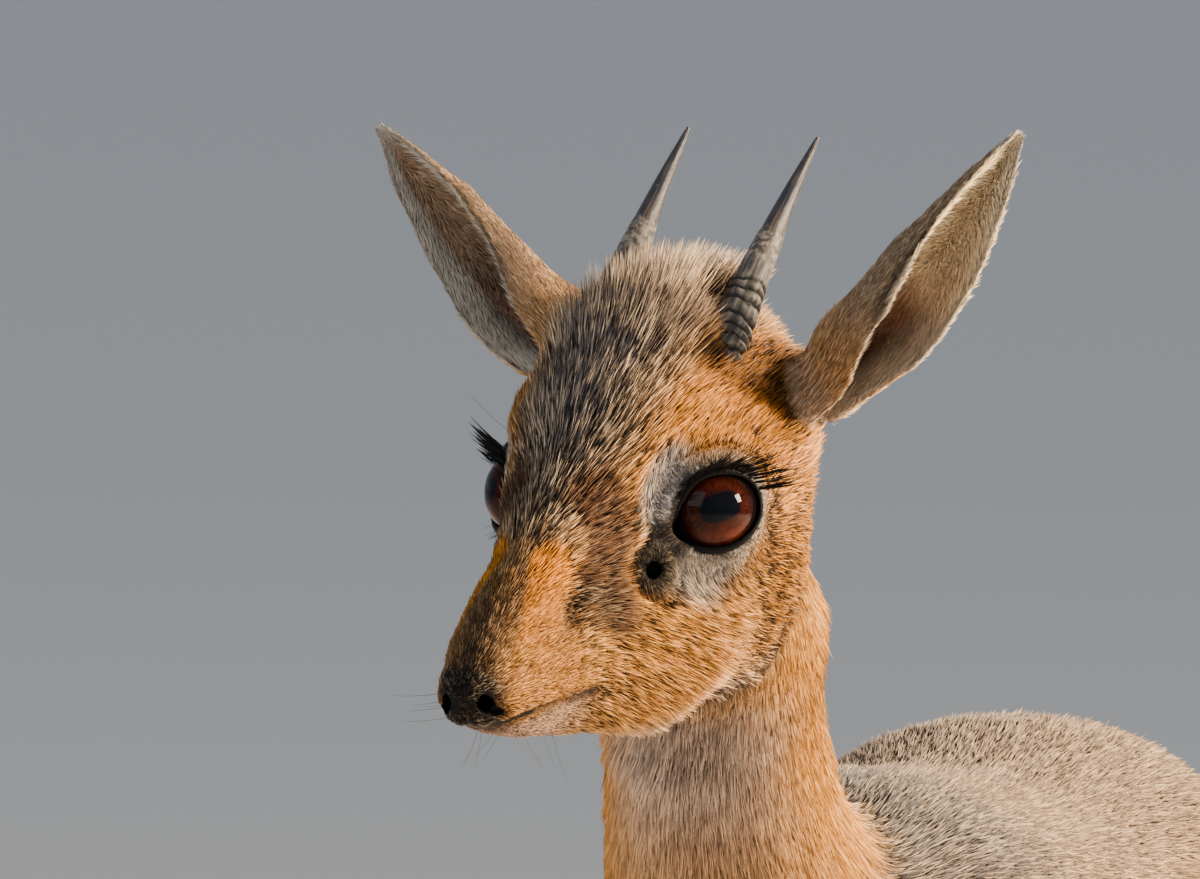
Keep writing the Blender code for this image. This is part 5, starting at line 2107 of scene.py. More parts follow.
@dataclass(frozen=True)
class HairFlow:
    """The way that the coat lies: backwards, and round the face's own forms."""
    cheek_drop: float = 0.62
    temple_out: float = 0.35
    temple_up: float = 0.25
    crown_out: float = 0.10
    crown_up: float = 0.4
    lid_pull: float = 0.85
    gland_pull: float = 0.75
    gland_reach: float = 7.5
    rounds: int = 14

    def face(self, points: Array) -> Array:
        """The flow over the head.

        Args:
            points: the points in the head's frame.

        Returns:
            Unit vectors in that frame.
        """
        aside, forward, up = np.abs(points[:, 0]), -points[:, 1], points[:, 2]
        side = np.sign(points[:, 0])
        flow = np.tile(np.array((0, 1.0, 0)), (len(points), 1))
        flow[:, 2] -= self.cheek_drop * ease(up, 2, -16) * ease(forward, 54, 36)
        temple = ease(up, 4, 16) * ease(forward, 22, -6) * ease(aside, 14, 22)
        crown = ease(up, 20, 30) * ease(aside, 16, 8)
        for share, outwards, upwards in ((temple, self.temple_out, self.temple_up),
                                         (crown, self.crown_out, self.crown_up)):
            flow[:, 2] += upwards * share
            flow[:, 0] += side * outwards * share
        for mirror in BOTH_SIDES:
            far, x, y = EYES.lid_place(points, mirror)
            _, _, out, upward = EYES.axes(mirror)
            ray = unit(np.outer(x, out) + np.outer(y, upward))
            flow = mix(flow, ray, ease(far, 2.3, 1.25) * self.lid_pull)
            ray = points - on_side(GLAND, mirror)
            pull = self.gland_pull * bell(np.linalg.norm(ray, axis=1), self.gland_reach)
            flow = mix(flow, unit(ray), pull)
        return unit(flow)

    def lie(self, normals: Array, owner: Owner, head_points: Array, edges: Array) -> Array:
        """The way the coat lies at each point, flat on the skin.

        Args:
            normals: the points' normals, in the animal's frame.
            owner: what each point belongs to.
            head_points: the points in the head's frame.
            edges: the skin's edges.

        Returns:
            Unit vectors along the skin.
        """
        head = (owner.part == Part.HEAD).astype(float)
        lie = mix(unit(owner.lie), self.face(head_points) @ HEAD_POSE.rotation().T, head)
        lie = evened(lie, edges, self.rounds)
        return unit(lie - normals * (lie * normals).sum(1, keepdims=True))


@dataclass(frozen=True)
class Crest:
    """The long hair on the crown, between the horns and behind them."""
    density: float = 3.4
    front_length: float = 7.5
    back_length: float = 5.0
    front_rise: float = 0.34
    back_rise: float = 0.66
    parting: float = 0.06
    way: Triple = (0, 1.0, 0.10)

    def write(self, mesh: bpy.types.Mesh, points: Array, normals: Array, owner: Owner) -> None:
        """Stores how thickly the hair stands, how long it is and how it points.

        Args:
            mesh: the skin's mesh.
            points: its points in the head's frame.
            normals: their normals in it.
            owner: what each point belongs to.
        """
        aside, forward, up = np.abs(points[:, 0]), -points[:, 1], points[:, 2]
        back = ease(-forward, -14, 12)
        narrow = 15 - 7 * ease(-forward, 6, 16)
        on_crown = ((owner.part == Part.HEAD) * ease(aside, narrow + 2, narrow - 3)
                    * ease(forward, 18, 6) * ease(forward, -46, -38) * ease(up, 22, 30))
        store(mesh, "crest_density", on_crown * self.density / MM ** 2)
        store(mesh, "crest_length", (self.front_length + self.back_length * back) * MM)
        way = np.array(self.way)
        lie = unit(way - normals * (normals @ way)[:, None])
        rise = (self.front_rise + self.back_rise * back)[:, None]
        side = np.sign(points[:, :1]) * np.array((self.parting, 0, 0)) * aside[:, None] / 10
        aim = unit(lie * np.cos(rise) + normals * np.sin(rise) + side)
        store(mesh, "crest_aim", aim @ HEAD_POSE.rotation().T)


@dataclass
class Skin:
    """The one skin of the animal, and what the coat reads from it."""
    shift: Array
    seam_reach: float = 9.0
    jaw_reach: float = 24.0
    seam_rounds: int = 60
    cheek_seam: float = 4.0
    jaw_rounds: int = 500
    gullet_rise: float = 6.0
    gullet_width: float = 9.0
    probe: float = 1.4
    weld: float = 0.02
    unwrap_angle: float = math.radians(72)
    island_margin: float = 0.002
    head_rounds: int = 10
    neck_rounds: int = 90
    ground: Triple = (180, 148, 114)
    ground_grizzle: float = 0.4
    body_contrast: float = 0.75
    head_contrast: float = 0.85
    short_contrast: float = 0.68
    long_contrast: float = 0.32
    short_hair: Pair = (2.0, 5.5)
    shells: list[Shell] = field(init=False)
    mouth: Array = field(init=False)
    replaced: tuple[str, ...] = ("head", "neck", "torso", "tail", "ear_left", "ear_right") + tuple(
        f"{leg}_{side}_{half}" for leg in ("foreleg", "hindleg") for side in ("left", "right")
        for half in ("upper", "lower"))

    def fuse(self) -> bpy.types.Object:
        """Joins body, head and ears as one closed surface, and eases the seams between them.

        Returns:
            The fused skin.
        """
        form = BodyForm()
        shells = form.shells()
        skin = form.build(shells)
        head, self.mouth = HeadForm().build()
        ear_shells = [ear.shell() for ear in ears()]
        for shell in [head] + ear_shells:
            shell.points = HEAD_POSE.to_animal(shell.points)
            shell.lie = shell.lie @ HEAD_POSE.rotation().T
        self.shells = shells + [head] + ear_shells
        others = [work_object(f"fused_{i}", s) for i, s in enumerate([head] + ear_shells)]
        before = points_of(skin.data)
        known = np.concatenate([before, head.points] + [s.points for s in ear_shells])
        combine(skin, others, "UNION")
        self.ease_seams(skin, known)
        return skin

    def ease_seams(self, skin: bpy.types.Object, known: Array) -> None:
        """Smooths the skin near the lines where its parts met.

        Args:
            skin: the fused skin.
            known: the points that the parts had before, so that what is new is a seam.
        """
        spots = points_of(skin.data)
        old = {tuple(row) for row in np.round(known, 2)}
        new = np.array([tuple(row) not in old for row in np.round(spots, 2)])
        tree = kd_tree(spots[new])
        away = np.array([tree.find(point)[2] for point in spots])
        head = HEAD_POSE.to_head(spots)
        jaw = ease(head[:, 2], -4, -14) * ease(-head[:, 1], 44, 32)
        normals = normals_of(skin.data)
        for mirror in BOTH_SIDES:
            gullet = path_distance(head, GULLET, mirror)
            fill = self.gullet_rise * bell(gullet, self.gullet_width)
            spots = spots + normals * fill[:, None]
        edges = edges_of(skin.data)
        spots = evened(spots, edges, self.jaw_rounds, jaw * ease(away, self.jaw_reach, 6))
        reach = self.seam_reach + self.cheek_seam * ease(head[:, 2], -4, 4)
        weight = ease(away, reach, reach * 0.4)
        set_points(skin.data, evened(spots, edges, self.seam_rounds, weight))

    def open_face(self, skin: bpy.types.Object) -> None:
        """Cuts the lids' openings, the glands' pits and the nostrils.

        Args:
            skin: the fused skin.
        """
        cutters = []
        for mirror in BOTH_SIDES:
            cutters.append(EyeBall(mirror).shell(48, 36, 1.012))
            cutters.append(self.lid_cutter(mirror))
            cutters.append(self.dimple(on_side(GLAND, mirror), GLAND_PIT))
            nostril = on_side(NOSTRIL, mirror)
            for offset, radii, roll in NOSTRIL_HOLES:
                cutters.append(self.dimple(nostril + on_side(offset, mirror), radii,
                                           roll * mirror))
        for shell in cutters:
            shell.points = HEAD_POSE.to_animal(shell.points)
        combine(skin, [work_object(f"cutter_{i}", c) for i, c in enumerate(cutters)],
                "DIFFERENCE")

    @staticmethod
    def dimple(centre: Array, radii: Triple, roll: float = 0.0) -> Shell:
        """Makes an ellipsoid to cut with.

        Args:
            centre: its centre, in the head's frame.
            radii: its radii: left, forward and up.
            roll: how far it is rolled about the forward axis.

        Returns:
            The closed ellipsoid.
        """
        theta = np.linspace(0, math.pi, 22)[1:-1]
        phi = circle(32)
        rings = np.array([np.stack([np.cos(phi) * math.sin(t), np.sin(phi) * math.sin(t),
                                    np.full(32, math.cos(t))], 1) for t in theta])
        made = lofted(rings * np.array(radii))
        c, s = math.cos(roll), math.sin(roll)
        made.points = made.points @ np.array(((c, 0, s), (0, 1, 0), (-s, 0, c))) + centre
        return made

    @staticmethod
    def lid_cutter(mirror: int) -> Shell:
        """Makes the prism that opens the lids in front of an eye.

        Args:
            mirror: 1 for the left eye and -1 for the right.

        Returns:
            The prism, in the head's frame.
        """
        centre, gaze, out, up = EYES.axes(mirror)
        outline = EYES.outline(96)
        rings = []
        for depth, spread in ((2.0, 0.80), (EYES.radius + 9.0, 1.30)):
            rings.append(centre + gaze * depth + np.outer(outline[:, 0] * spread, out)
                         + np.outer(outline[:, 1] * spread, up))
        return lofted(np.array(rings))

    def tidy(self, skin: bpy.types.Object) -> None:
        """Welds the skin, drops loose scraps, and unwraps it by its own shape.

        Args:
            skin: the cut skin.
        """
        bm = bmesh.new()
        bm.from_mesh(skin.data)
        bmesh.ops.remove_doubles(bm, verts=bm.verts, dist=self.weld * MM)
        loose = [v for v in bm.verts if not v.link_faces]
        bmesh.ops.delete(bm, geom=loose, context="VERTS")
        bm.to_mesh(skin.data)
        bm.free()
        while skin.data.uv_layers:
            skin.data.uv_layers.remove(skin.data.uv_layers[0])
        skin.data.uv_layers.new(name="OFBake")
        bpy.context.view_layer.objects.active = skin
        skin.select_set(True)
        bpy.ops.object.mode_set(mode="EDIT")
        bpy.ops.mesh.select_all(action="SELECT")
        bpy.ops.uv.smart_project(angle_limit=self.unwrap_angle,
                                 island_margin=self.island_margin)
        bpy.ops.object.mode_set(mode="OBJECT")

    def hair_of(self, spots: Array, normals: Array, owner: Owner, head_points: Array,
                edges: Array, bare: Array, near_neck: Array) -> Hair:
        """The sizes of the coat's tufts at each point.

        Args:
            spots: the points in the animal's frame.
            normals: their normals.
            owner: what each point belongs to.
            head_points: the points in the head's frame.
            edges: the skin's edges.
            bare: how bare the skin is at each point.
            near_neck: 1 on the neck and 0 away from it.

        Returns:
            The sizes, evened along the skin, with no tufts where it is bare.
        """
        hair = Hair(*(np.full(len(spots), size) for size in Fur.PLAIN.value))
        self.body_hair(hair, spots, normals, owner.part, near_neck)
        self.head_hair(hair, head_points, owner.part == Part.HEAD)
        self.ear_hair(hair, owner)
        even = evened(np.stack([hair.length, hair.width, hair.density, hair.lift], 1), edges, 3)
        hair = Hair(*even.T)
        hair.density *= ease(bare, 0.97, 0.75)
        return hair

    @staticmethod
    def body_hair(hair: Hair, spots: Array, normals: Array, part: Array,
                  near_neck: Array) -> None:
        """Sizes the tufts of trunk, neck, legs and tail.

        Args:
            hair: the sizes that change.
            spots: the points in the animal's frame.
            normals: their normals.
            part: the part that each belongs to.
            near_neck: 1 on the neck and 0 away from it.
        """
        z = spots[:, 2]
        hair.set(ease(normals[:, 2], 0.0, 0.5) * ease(z, 325, 350), Fur.UPPER)
        hair.set(near_neck * ease(z, 325, 365), Fur.NECK)
        legs = (part == Part.FORELEG) | (part == Part.HINDLEG)
        hair.set(legs * ease(z, 320, 280), Fur.THIGH)
        hair.set(legs * ease(z, 270, 215), Fur.LEG)
        hair.set(legs * ease(z, 140, 90), Fur.SHIN)
        hair.set(part == Part.TAIL, Fur.TAIL)

    def head_hair(self, hair: Hair, points: Array, head: Array) -> None:
        """Sizes the tufts of the head.

        Args:
            hair: the sizes that change.
            points: the points in the head's frame.
            head: which of them are on it.
        """
        aside, forward, up = np.abs(points[:, 0]), -points[:, 1], points[:, 2]
        hair.set(head, Fur.HEAD)
        hair.set(head * ease(forward, -10, -40), Fur.NAPE)
        hair.set(head * ease(up, -12, -34) * ease(forward, 46, 30), Fur.JAW)
        hair.set(head * ease(up, 2, -14) * ease(forward, 10, -6), Fur.REAR_CHEEK)
        hair.set(head * ease(forward, 34, 60), Fur.MUZZLE)
        hair.set(head * ease(up, 14, 26) * ease(aside, 20, 13) * ease(forward, 34, 14),
                 Fur.CROWN)
        for mirror in BOTH_SIDES:
            far, _, _ = EYES.lid_place(points, mirror)
            hair.set(head * ease(far, 2.1, 1.5), Fur.EYE_RING)
            hair.set(head * ease(far, 1.4, 1.2), Fur.LID)
            hair.set(head * ease(place_distance(points, GLAND, mirror), 8.0, 5.0), Fur.GLAND)
            hair.set(head * ease(path_distance(points, TEAR_LINE, mirror), 3.0, 1.5), Fur.TEAR)
        line = groove_distance(points, self.mouth)
        hair.set(head * ease(up, -25.5, -27.5) * ease(forward, 44, 52), Fur.CHIN)
        hair.set(head * ease(forward, 71, 74), Fur.NOSE)
        hair.set(head * ease(line, 3.0, 1.4) * ease(forward, 36, 44), Fur.LIP)
        hair.set(head * ease(line, 1.6, 0.8), Fur.MOUTH)

    @staticmethod
    def ear_hair(hair: Hair, owner: Owner) -> None:
        """Sizes the tufts of the ears.

        Args:
            hair: the sizes that change.
            owner: what each point belongs to.
        """
        ear = (owner.part == Part.EAR).astype(float)
        outside, inside = ear * (1 - owner.inner), ear * owner.inner
        t, across = owner.place, np.abs(owner.across)
        hair.set(outside, Fur.EAR_BACK)
        hair.set(outside * ease(t, 0.35, 0.15), Fur.EAR_ROOT)
        hair.set(outside * ease(across, 0.85, 0.95), Fur.EAR_EDGE)
        hair.set(inside, Fur.EAR_INSIDE)
        hair.set(inside * ease(t, 0.32, 0.55), Fur.EAR_TUFTS)
        fringe = ease(across, 0.50, 0.78) * ease(t, 0.97, 0.8)
        hair.set(inside * fringe, Fur.EAR_FRINGE)
        hair.set(inside * ease(t, 0.22, 0.08), Fur.EAR_CANAL)
        hair.set(ear * ease(t, 0.85, 0.95), Fur.EAR_TIP)

    @staticmethod
    def zones(centres: Array, owner: Owner, first: Array, head_points: Array) -> Array:
        """The zone of each face.

        Args:
            centres: the faces' middles in the animal's frame.
            owner: what each point belongs to.
            first: one point of each face.
            head_points: the faces' middles in the head's frame.

        Returns:
            A Zone for each face, as whole numbers.
        """
        part, x = owner.part[first], centres[:, 0]
        head, front = part == Part.HEAD, -head_points[:, 1] > -8
        left = head_points[:, 0] > 0
        zone = np.where(x > -6, Zone.SIDE_LEFT, Zone.SIDE_RIGHT)
        for chosen, on_left, left_zone, right_zone in (
                ((part == Part.TRUNK) & (centres[:, 2] > 350), left, Zone.BACK, Zone.BACK),
                (part == Part.NECK, x > -9, Zone.NECK_LEFT, Zone.NECK_RIGHT),
                (part == Part.FORELEG, left, Zone.FORELEGS, Zone.FORELEGS),
                (part == Part.HINDLEG, left, Zone.HINDLEGS, Zone.HINDLEGS),
                (head & front, left, Zone.FACE_LEFT, Zone.FACE_RIGHT),
                (head & ~front, left, Zone.NAPE_LEFT, Zone.NAPE_RIGHT),
                (part == Part.EAR, left, Zone.EAR_LEFT, Zone.EAR_RIGHT)):
            zone = np.where(chosen, np.where(on_left, left_zone, right_zone), zone)
        return zone

    def build(self) -> bpy.types.Object:
        """Makes the skin with every attribute that the coat reads.

        Returns:
            The skin as a piece.
        """
        skin = self.fuse()
        self.open_face(skin)
        self.tidy(skin)
        mesh = skin.data
        spots, normals, edges = points_of(mesh), normals_of(mesh), edges_of(mesh)
        owner = nearest(self.shells, spots + normals * self.probe)
        head_points = HEAD_POSE.to_head(spots)
        head_normals = normals @ HEAD_POSE.rotation()
        count = len(spots)
        on_head, near_neck = (evened((owner.part == part).astype(float), edges, rounds)[:, 0]
                              for part, rounds in ((Part.HEAD, self.head_rounds),
                                                   (Part.NECK, self.neck_rounds)))
        look = Look(np.tile(colour(*self.ground), (count, 1)),
                    np.full(count, self.ground_grizzle), np.zeros(count),
                    self.body_contrast + self.head_contrast * on_head)
        markings = Markings()
        markings.body(look, spots, normals, owner, near_neck)
        markings.head(look, head_points, head_normals, self.mouth, on_head)
        markings.ear(look, owner, (head_points[:, 0] > 0).astype(float))
        inside_socket = self.inside_sockets(head_points)
        # Painted shade: near-black inside the eye sockets and nostrils, over their dark skin.
        look.paint(markings.palette.pit_shade, inside_socket, 0.0, 1.0)
        lie = HairFlow().lie(normals, owner, head_points, edges)
        hair = self.hair_of(spots, normals, owner, head_points, edges, look.bare, near_neck)
        hair.density *= 1 - inside_socket
        long = ease(hair.length, *self.short_hair)
        look.contrast *= self.short_contrast + self.long_contrast * long
        self.write(mesh, look, hair, lie, normals)
        self.write_zones(mesh, owner)
        Crest().write(mesh, head_points, head_normals, owner)
        set_points(mesh, spots + self.shift)
        mesh.shade_smooth()
        bpy.data.objects.remove(skin)
        return new_piece("skin", mesh, SKIN, self.replaced)

    @staticmethod
    def inside_sockets(head_points: Array) -> Array:
        """Tells which points lie inside eye sockets and nostrils.

        Args:
            head_points: the points in the head's frame.

        Returns:
            1 inside a hole, 0 on the open skin.
        """
        inside = np.zeros(len(head_points))
        for mirror in BOTH_SIDES:
            centre, _, _, _ = EYES.axes(mirror)
            away = np.linalg.norm(head_points - centre, axis=1)
            inside = np.maximum(inside, ease(away, EYES.radius + 0.9, EYES.radius + 0.55))
            nostril = on_side(NOSTRIL, mirror)
            for place, radii, roll in NOSTRIL_HOLES:
                offset = head_points - nostril - on_side(place, mirror)
                c, s = math.cos(roll * mirror), math.sin(roll * mirror)
                offset = offset @ np.array(((c, 0, -s), (0, 1, 0), (s, 0, c))) / radii
                inside = np.maximum(inside, ease(np.linalg.norm(offset, axis=1), 1.3, 1.1))
        return inside

    @staticmethod
    def write(mesh: bpy.types.Mesh, look: Look, hair: Hair, lie: Array, normals: Array) -> None:
        """Stores what the materials and the coat's trees read.

        Args:
            mesh: the skin's mesh.
            look: its markings.
            hair: its tufts' sizes.
            lie: the way that they lie.
            normals: the skin's normals.
        """
        store(mesh, "tone", np.concatenate([look.tone, np.ones((len(look.tone), 1))], 1))
        store(mesh, "grizzle", look.grizzle)
        store(mesh, "contrast", look.contrast)
        store(mesh, "bare", look.bare)
        rise = hair.lift[:, None]
        store(mesh, "aim", unit(lie * np.cos(rise) + normals * np.sin(rise)))
        store(mesh, "out", normals)
        store(mesh, "hair_length", hair.length * MM)
        store(mesh, "hair_width", hair.width * MM)
        store(mesh, "hair_density", hair.density / MM ** 2)

    def write_zones(self, mesh: bpy.types.Mesh, owner: Owner) -> None:
        """Stores the zone of each face.

        Args:
            mesh: the skin's mesh.
            owner: what each point belongs to.
        """
        centres = values_of(mesh.polygons, "center") / MM
        starts = values_of(mesh.polygons, "loop_start", 1, np.int32)[:, 0]
        zone = self.zones(centres, owner, corners_of(mesh)[starts], HEAD_POSE.to_head(centres))
        attribute = mesh.attributes.new("zone", "INT", "FACE")
        attribute.data.foreach_set("value", zone.astype(np.int32))


@dataclass(frozen=True)
class TuftShape:
    """A tapered tuft of hair along z, sunk at its root and bent back at its tip."""
    name: str
    rings: tuple[Pair, ...]
    bend: float
    thickness: float = 0.05
    sunk: float = 0.05
    patch: float = 0.003

    def build(self) -> bpy.types.Object:
        """Makes the tuft, 1 across and 1 long.

        Returns:
            The hidden object that the trees repeat.
        """
        if not self.rings:
            return self.finished([(-0.5, 0.0, 0.0), (0.5, 0.0, 0.0), (0.0, 0.06, 0.16),
                                  (0.0, -self.bend, 1.0)],
                                 [(0, 1, 2), (0, 2, 3), (2, 1, 3), (1, 0, 3)])
        points = [(0.0, 0.0, -self.sunk)]
        for z, width in self.rings:
            y = -self.bend * z * z
            points += [(-0.5 * width, y, z), (0.5 * width, y, z),
                       (0.0, y + self.thickness * width, z)]
        points.append((0.0, -self.bend, 1.0))
        faces = [(0, 2, 1), (0, 3, 2), (0, 1, 3)]
        for k in range(len(self.rings) - 1):
            a, b = 1 + 3 * k, 4 + 3 * k
            for i in range(3):
                j = (i + 1) % 3
                faces += [(a + i, a + j, b + j), (a + i, b + j, b + i)]
        last, tip = 3 * len(self.rings) - 2, len(points) - 1
        faces += [(last + i, last + (i + 1) % 3, tip) for i in range(3)]
        return self.finished(points, faces)

    def finished(self, points: list[Triple],
                 faces: list[tuple[int, int, int]]) -> bpy.types.Object:
        """Turns a tuft's points and faces into an object.

        Args:
            points: the tuft's points.
            faces: its triangles.

        Returns:
            The hidden object.
        """
        mesh = bpy.data.meshes.new(self.name)
        mesh.from_pydata(points, [], faces)
        bm = bmesh.new()
        bm.from_mesh(mesh)
        bmesh.ops.recalc_face_normals(bm, faces=bm.faces)
        bm.to_mesh(mesh)
        bm.free()
        mesh.shade_smooth()
        spots = np.array(points)
        store(mesh, "along", np.clip(spots[:, 2], 0, 1))
        patch = np.stack([spots[:, 0], spots[:, 2] - 0.5, np.zeros(len(spots))], 1) * self.patch
        store(mesh, "patch", patch)
        made = bpy.data.objects.new(self.name, mesh)
        bpy.context.scene.collection.objects.link(made)
        made.hide_render = True
        return made


@dataclass
class TuftTree:
    """A geometry tree that sets tufts on a skin's faces, or on loose points."""
    roots: Roots
    shade_alone: float = 0.78
    shade_patches: float = 0.2
    shade_grain: float = 520.0
    length_spread: Pair = (0.72, 1.22)
    width_spread: Pair = (0.7, 1.3)
    turn_seed: int = 7
    length_seed: int = 3
    width_seed: int = 5
    inputs: tuple[tuple[str, str, object], ...] = (
        ("Tuft", "NodeSocketObject", None), ("Material", "NodeSocketMaterial", None),
        ("Zone", "NodeSocketInt", 0), ("Seed", "NodeSocketInt", 1),
        ("Density Scale", "NodeSocketFloat", 1.0), ("Length Scale", "NodeSocketFloat", 1.0),
        ("Width Scale", "NodeSocketFloat", 1.0), ("Jitter", "NodeSocketFloat", 0.1),
        ("Clump", "NodeSocketFloat", 0.2), ("Clump Scale", "NodeSocketFloat", 160.0))

    def build(self, length: str = "hair_length", density: str = "hair_density",
              aim: str = "aim", zoned: bool = True) -> bpy.types.NodeTree:
        """The tree.

        Args:
            length: the attribute that holds the tufts' length.
            density: the attribute that holds how many stand on a square metre.
            aim: the attribute that holds the way that they point.
            zoned: whether only the faces of one zone carry tufts.

        Returns:
            The node tree, which ends in realized tufts with their material.
        """
        tree = bpy.data.node_groups.new(f"tufts_on_{self.roots.value}", "GeometryNodeTree")
        tree.interface.new_socket("Geometry", in_out="INPUT", socket_type="NodeSocketGeometry")
        for name, kind, value in self.inputs:
            made = tree.interface.new_socket(name, in_out="INPUT", socket_type=kind)
            if value is not None:
                made.default_value = value
        tree.interface.new_socket("Geometry", in_out="OUTPUT", socket_type="NodeSocketGeometry")
        nodes = Nodes(tree)
        start = nodes.add("NodeGroupInput")
        points = self.shaded(nodes, start, self.points(nodes, start, density, zoned))
        turn = self.turned(nodes, start, aim)
        size = self.sized(nodes, start, length)
        tuft = nodes.add("GeometryNodeObjectInfo", {"Object": (start, "Tuft")})
        placed = nodes.add("GeometryNodeInstanceOnPoints", {
            "Points": points, "Instance": (tuft, "Geometry"), "Rotation": turn, "Scale": size})
        plain = nodes.add("GeometryNodeRealizeInstances", {"Geometry": (placed, "Instances")})
        spot = nodes.vector("ADD", self.named(nodes, "root_uv", "FLOAT_VECTOR"),
                            self.named(nodes, "patch", "FLOAT_VECTOR"))
        mapped = nodes.add("GeometryNodeStoreNamedAttribute", {
            "Geometry": (plain, "Geometry"), "Name": "OFBake", "Value": spot},
            data_type="FLOAT2", domain="CORNER")
        painted = nodes.add("GeometryNodeSetMaterial", {
            "Geometry": (mapped, "Geometry"), "Material": (start, "Material")})
        nodes.add("NodeGroupOutput", {"Geometry": (painted, "Geometry")})
        return tree

    @staticmethod
    def named(nodes: Nodes, name: str, kind: str) -> Output:
        """A field that reads an attribute."""
        node = nodes.add("GeometryNodeInputNamedAttribute", {"Name": name}, data_type=kind)
        return node, "Attribute"

    def points(self, nodes: Nodes, start: bpy.types.Node, density: str, zoned: bool) -> Output:
        """The points that the tufts stand on.

        Args:
            nodes: the tree's builder.
            start: the tree's input node.
            density: the attribute that holds how many stand on a square metre.
            zoned: whether only the faces of one zone carry tufts.

        Returns:
            The points.
        """
        if self.roots is Roots.POINTS:
            made = nodes.add("GeometryNodeMeshToPoints", {"Mesh": (start, "Geometry")})
            return made, "Points"
        amount = nodes.math("MULTIPLY", self.named(nodes, density, "FLOAT"),
                            (start, "Density Scale"))
        inputs = {"Mesh": (start, "Geometry"), "Density": amount, "Seed": (start, "Seed")}
        if zoned:
            same = nodes.add("FunctionNodeCompare", data_type="INT", operation="EQUAL")
            nodes.fill(same, {"A": self.named(nodes, "zone", "INT"), "B": (start, "Zone")})
            inputs["Selection"] = (same, "Result")
        return nodes.add("GeometryNodeDistributePointsOnFaces", inputs,
                         distribute_method="RANDOM"), "Points"

    def shaded(self, nodes: Nodes, start: bpy.types.Node, points: Output) -> Output:
        """Gives each point a random shade of its own.

        Args:
            nodes: the tree's builder.
            start: the tree's input node.
            points: the points.

        Returns:
            The points with their shade stored.
        """
        alone = nodes.random(0.0, self.shade_alone, (start, "Seed"))
        place = nodes.add("GeometryNodeInputPosition")
        noise = nodes.noise((place, "Position"), self.shade_grain, 1.0)
        shade = nodes.math("ADD", alone, nodes.span(noise, 0.34, 0.66, 0.0, self.shade_patches))
        made = nodes.add("GeometryNodeStoreNamedAttribute", {
            "Geometry": points, "Name": "shade", "Value": shade},
            data_type="FLOAT", domain="POINT")
        return made, "Geometry"

    def turned(self, nodes: Nodes, start: bpy.types.Node, aim: str) -> Output:
        """Each tuft's turn: along its aim, a little astray by itself and with its clump.

        Args:
            nodes: the tree's builder.
            start: the tree's input node.
            aim: the attribute that holds the way that the tufts point.

        Returns:
            The rotation.
        """
        place = nodes.add("GeometryNodeInputPosition")
        noise = nodes.noise((place, "Position"), (start, "Clump Scale"), 1.0, "Color")
        centred = nodes.vector("SUBTRACT", noise, (0.5, 0.5, 0.5))
        clump = nodes.vector("SCALE", centred, (start, "Clump"))
        astray = nodes.random((-1.0, -1.0, -1.0), (1.0, 1.0, 1.0), self.turn_seed,
                              "FLOAT_VECTOR")
        alone = nodes.vector("SCALE", astray, (start, "Jitter"))
        along = nodes.vector("ADD", self.named(nodes, aim, "FLOAT_VECTOR"),
                             nodes.vector("ADD", clump, alone))
        made = nodes.add("FunctionNodeAxesToRotation", {
            "Primary Axis": along, "Secondary Axis": self.named(nodes, "out", "FLOAT_VECTOR")},
            primary_axis="Z", secondary_axis="Y")
        return made, "Rotation"

    def sized(self, nodes: Nodes, start: bpy.types.Node, length: str) -> Output:
        """Each tuft's size: its width across, and its length for the other two axes.

        Args:
            nodes: the tree's builder.
            start: the tree's input node.
            length: the attribute that holds the tufts' length.

        Returns:
            The scale.
        """
        long, wide = (
            nodes.math("MULTIPLY", nodes.math(
                "MULTIPLY", self.named(nodes, name, "FLOAT"), (start, scale)),
                nodes.random(*limits, seed))
            for name, scale, limits, seed in (
                (length, "Length Scale", self.length_spread, self.length_seed),
                ("hair_width", "Width Scale", self.width_spread, self.width_seed)))
        return nodes.add("ShaderNodeCombineXYZ", {"X": wide, "Y": long, "Z": long}), "Vector"


def grown(name: str, roots: bpy.types.Mesh, tree: bpy.types.NodeTree,
          values: dict[str, object]) -> bpy.types.Mesh:
    """The mesh that a tuft tree makes.

    Args:
        name: the mesh's name.
        roots: the mesh that the tufts stand on.
        tree: the tree.
        values: its inputs by name.

    Returns:
        A plain mesh of every tuft, with only the attributes that the finishes read.
    """
    holder = bpy.data.objects.new(name, roots)
    bpy.context.scene.collection.objects.link(holder)
    modifier = holder.modifiers.new("Tufts", "NODES")
    modifier.node_group = tree
    for item in tree.interface.items_tree:
        if item.in_out == "INPUT" and item.name in values:
            modifier[item.identifier] = values[item.name]
    graph = bpy.context.evaluated_depsgraph_get()
    mesh = bpy.data.meshes.new_from_object(holder.evaluated_get(graph))
    holder.modifiers.clear()
    bpy.data.objects.remove(holder)
    kept = {"tone", "grizzle", "contrast", "shade", "along", "OFBake", "position",
            "material_index", "sharp_face"}
    for name in [each.name for each in mesh.attributes]:
        if name not in kept and not name.startswith("."):
            mesh.attributes.remove(mesh.attributes[name])
    return mesh


FINE_TUFT = TuftShape("fine_tuft", (), 0.10)
TALL_TUFT = TuftShape("tall_tuft", ((0.18, 0.9), (0.55, 0.85)), 0.10, 0.03)
LASH_RINGS = ((0.1, 0.9), (0.35, 1.0), (0.62, 0.8), (0.84, 0.5))
LASH_HAIR = TuftShape("lash_hair", LASH_RINGS, -0.12, 0.02)
WHISKER_HAIR = TuftShape("whisker_hair", LASH_RINGS, -0.16, 0.006)


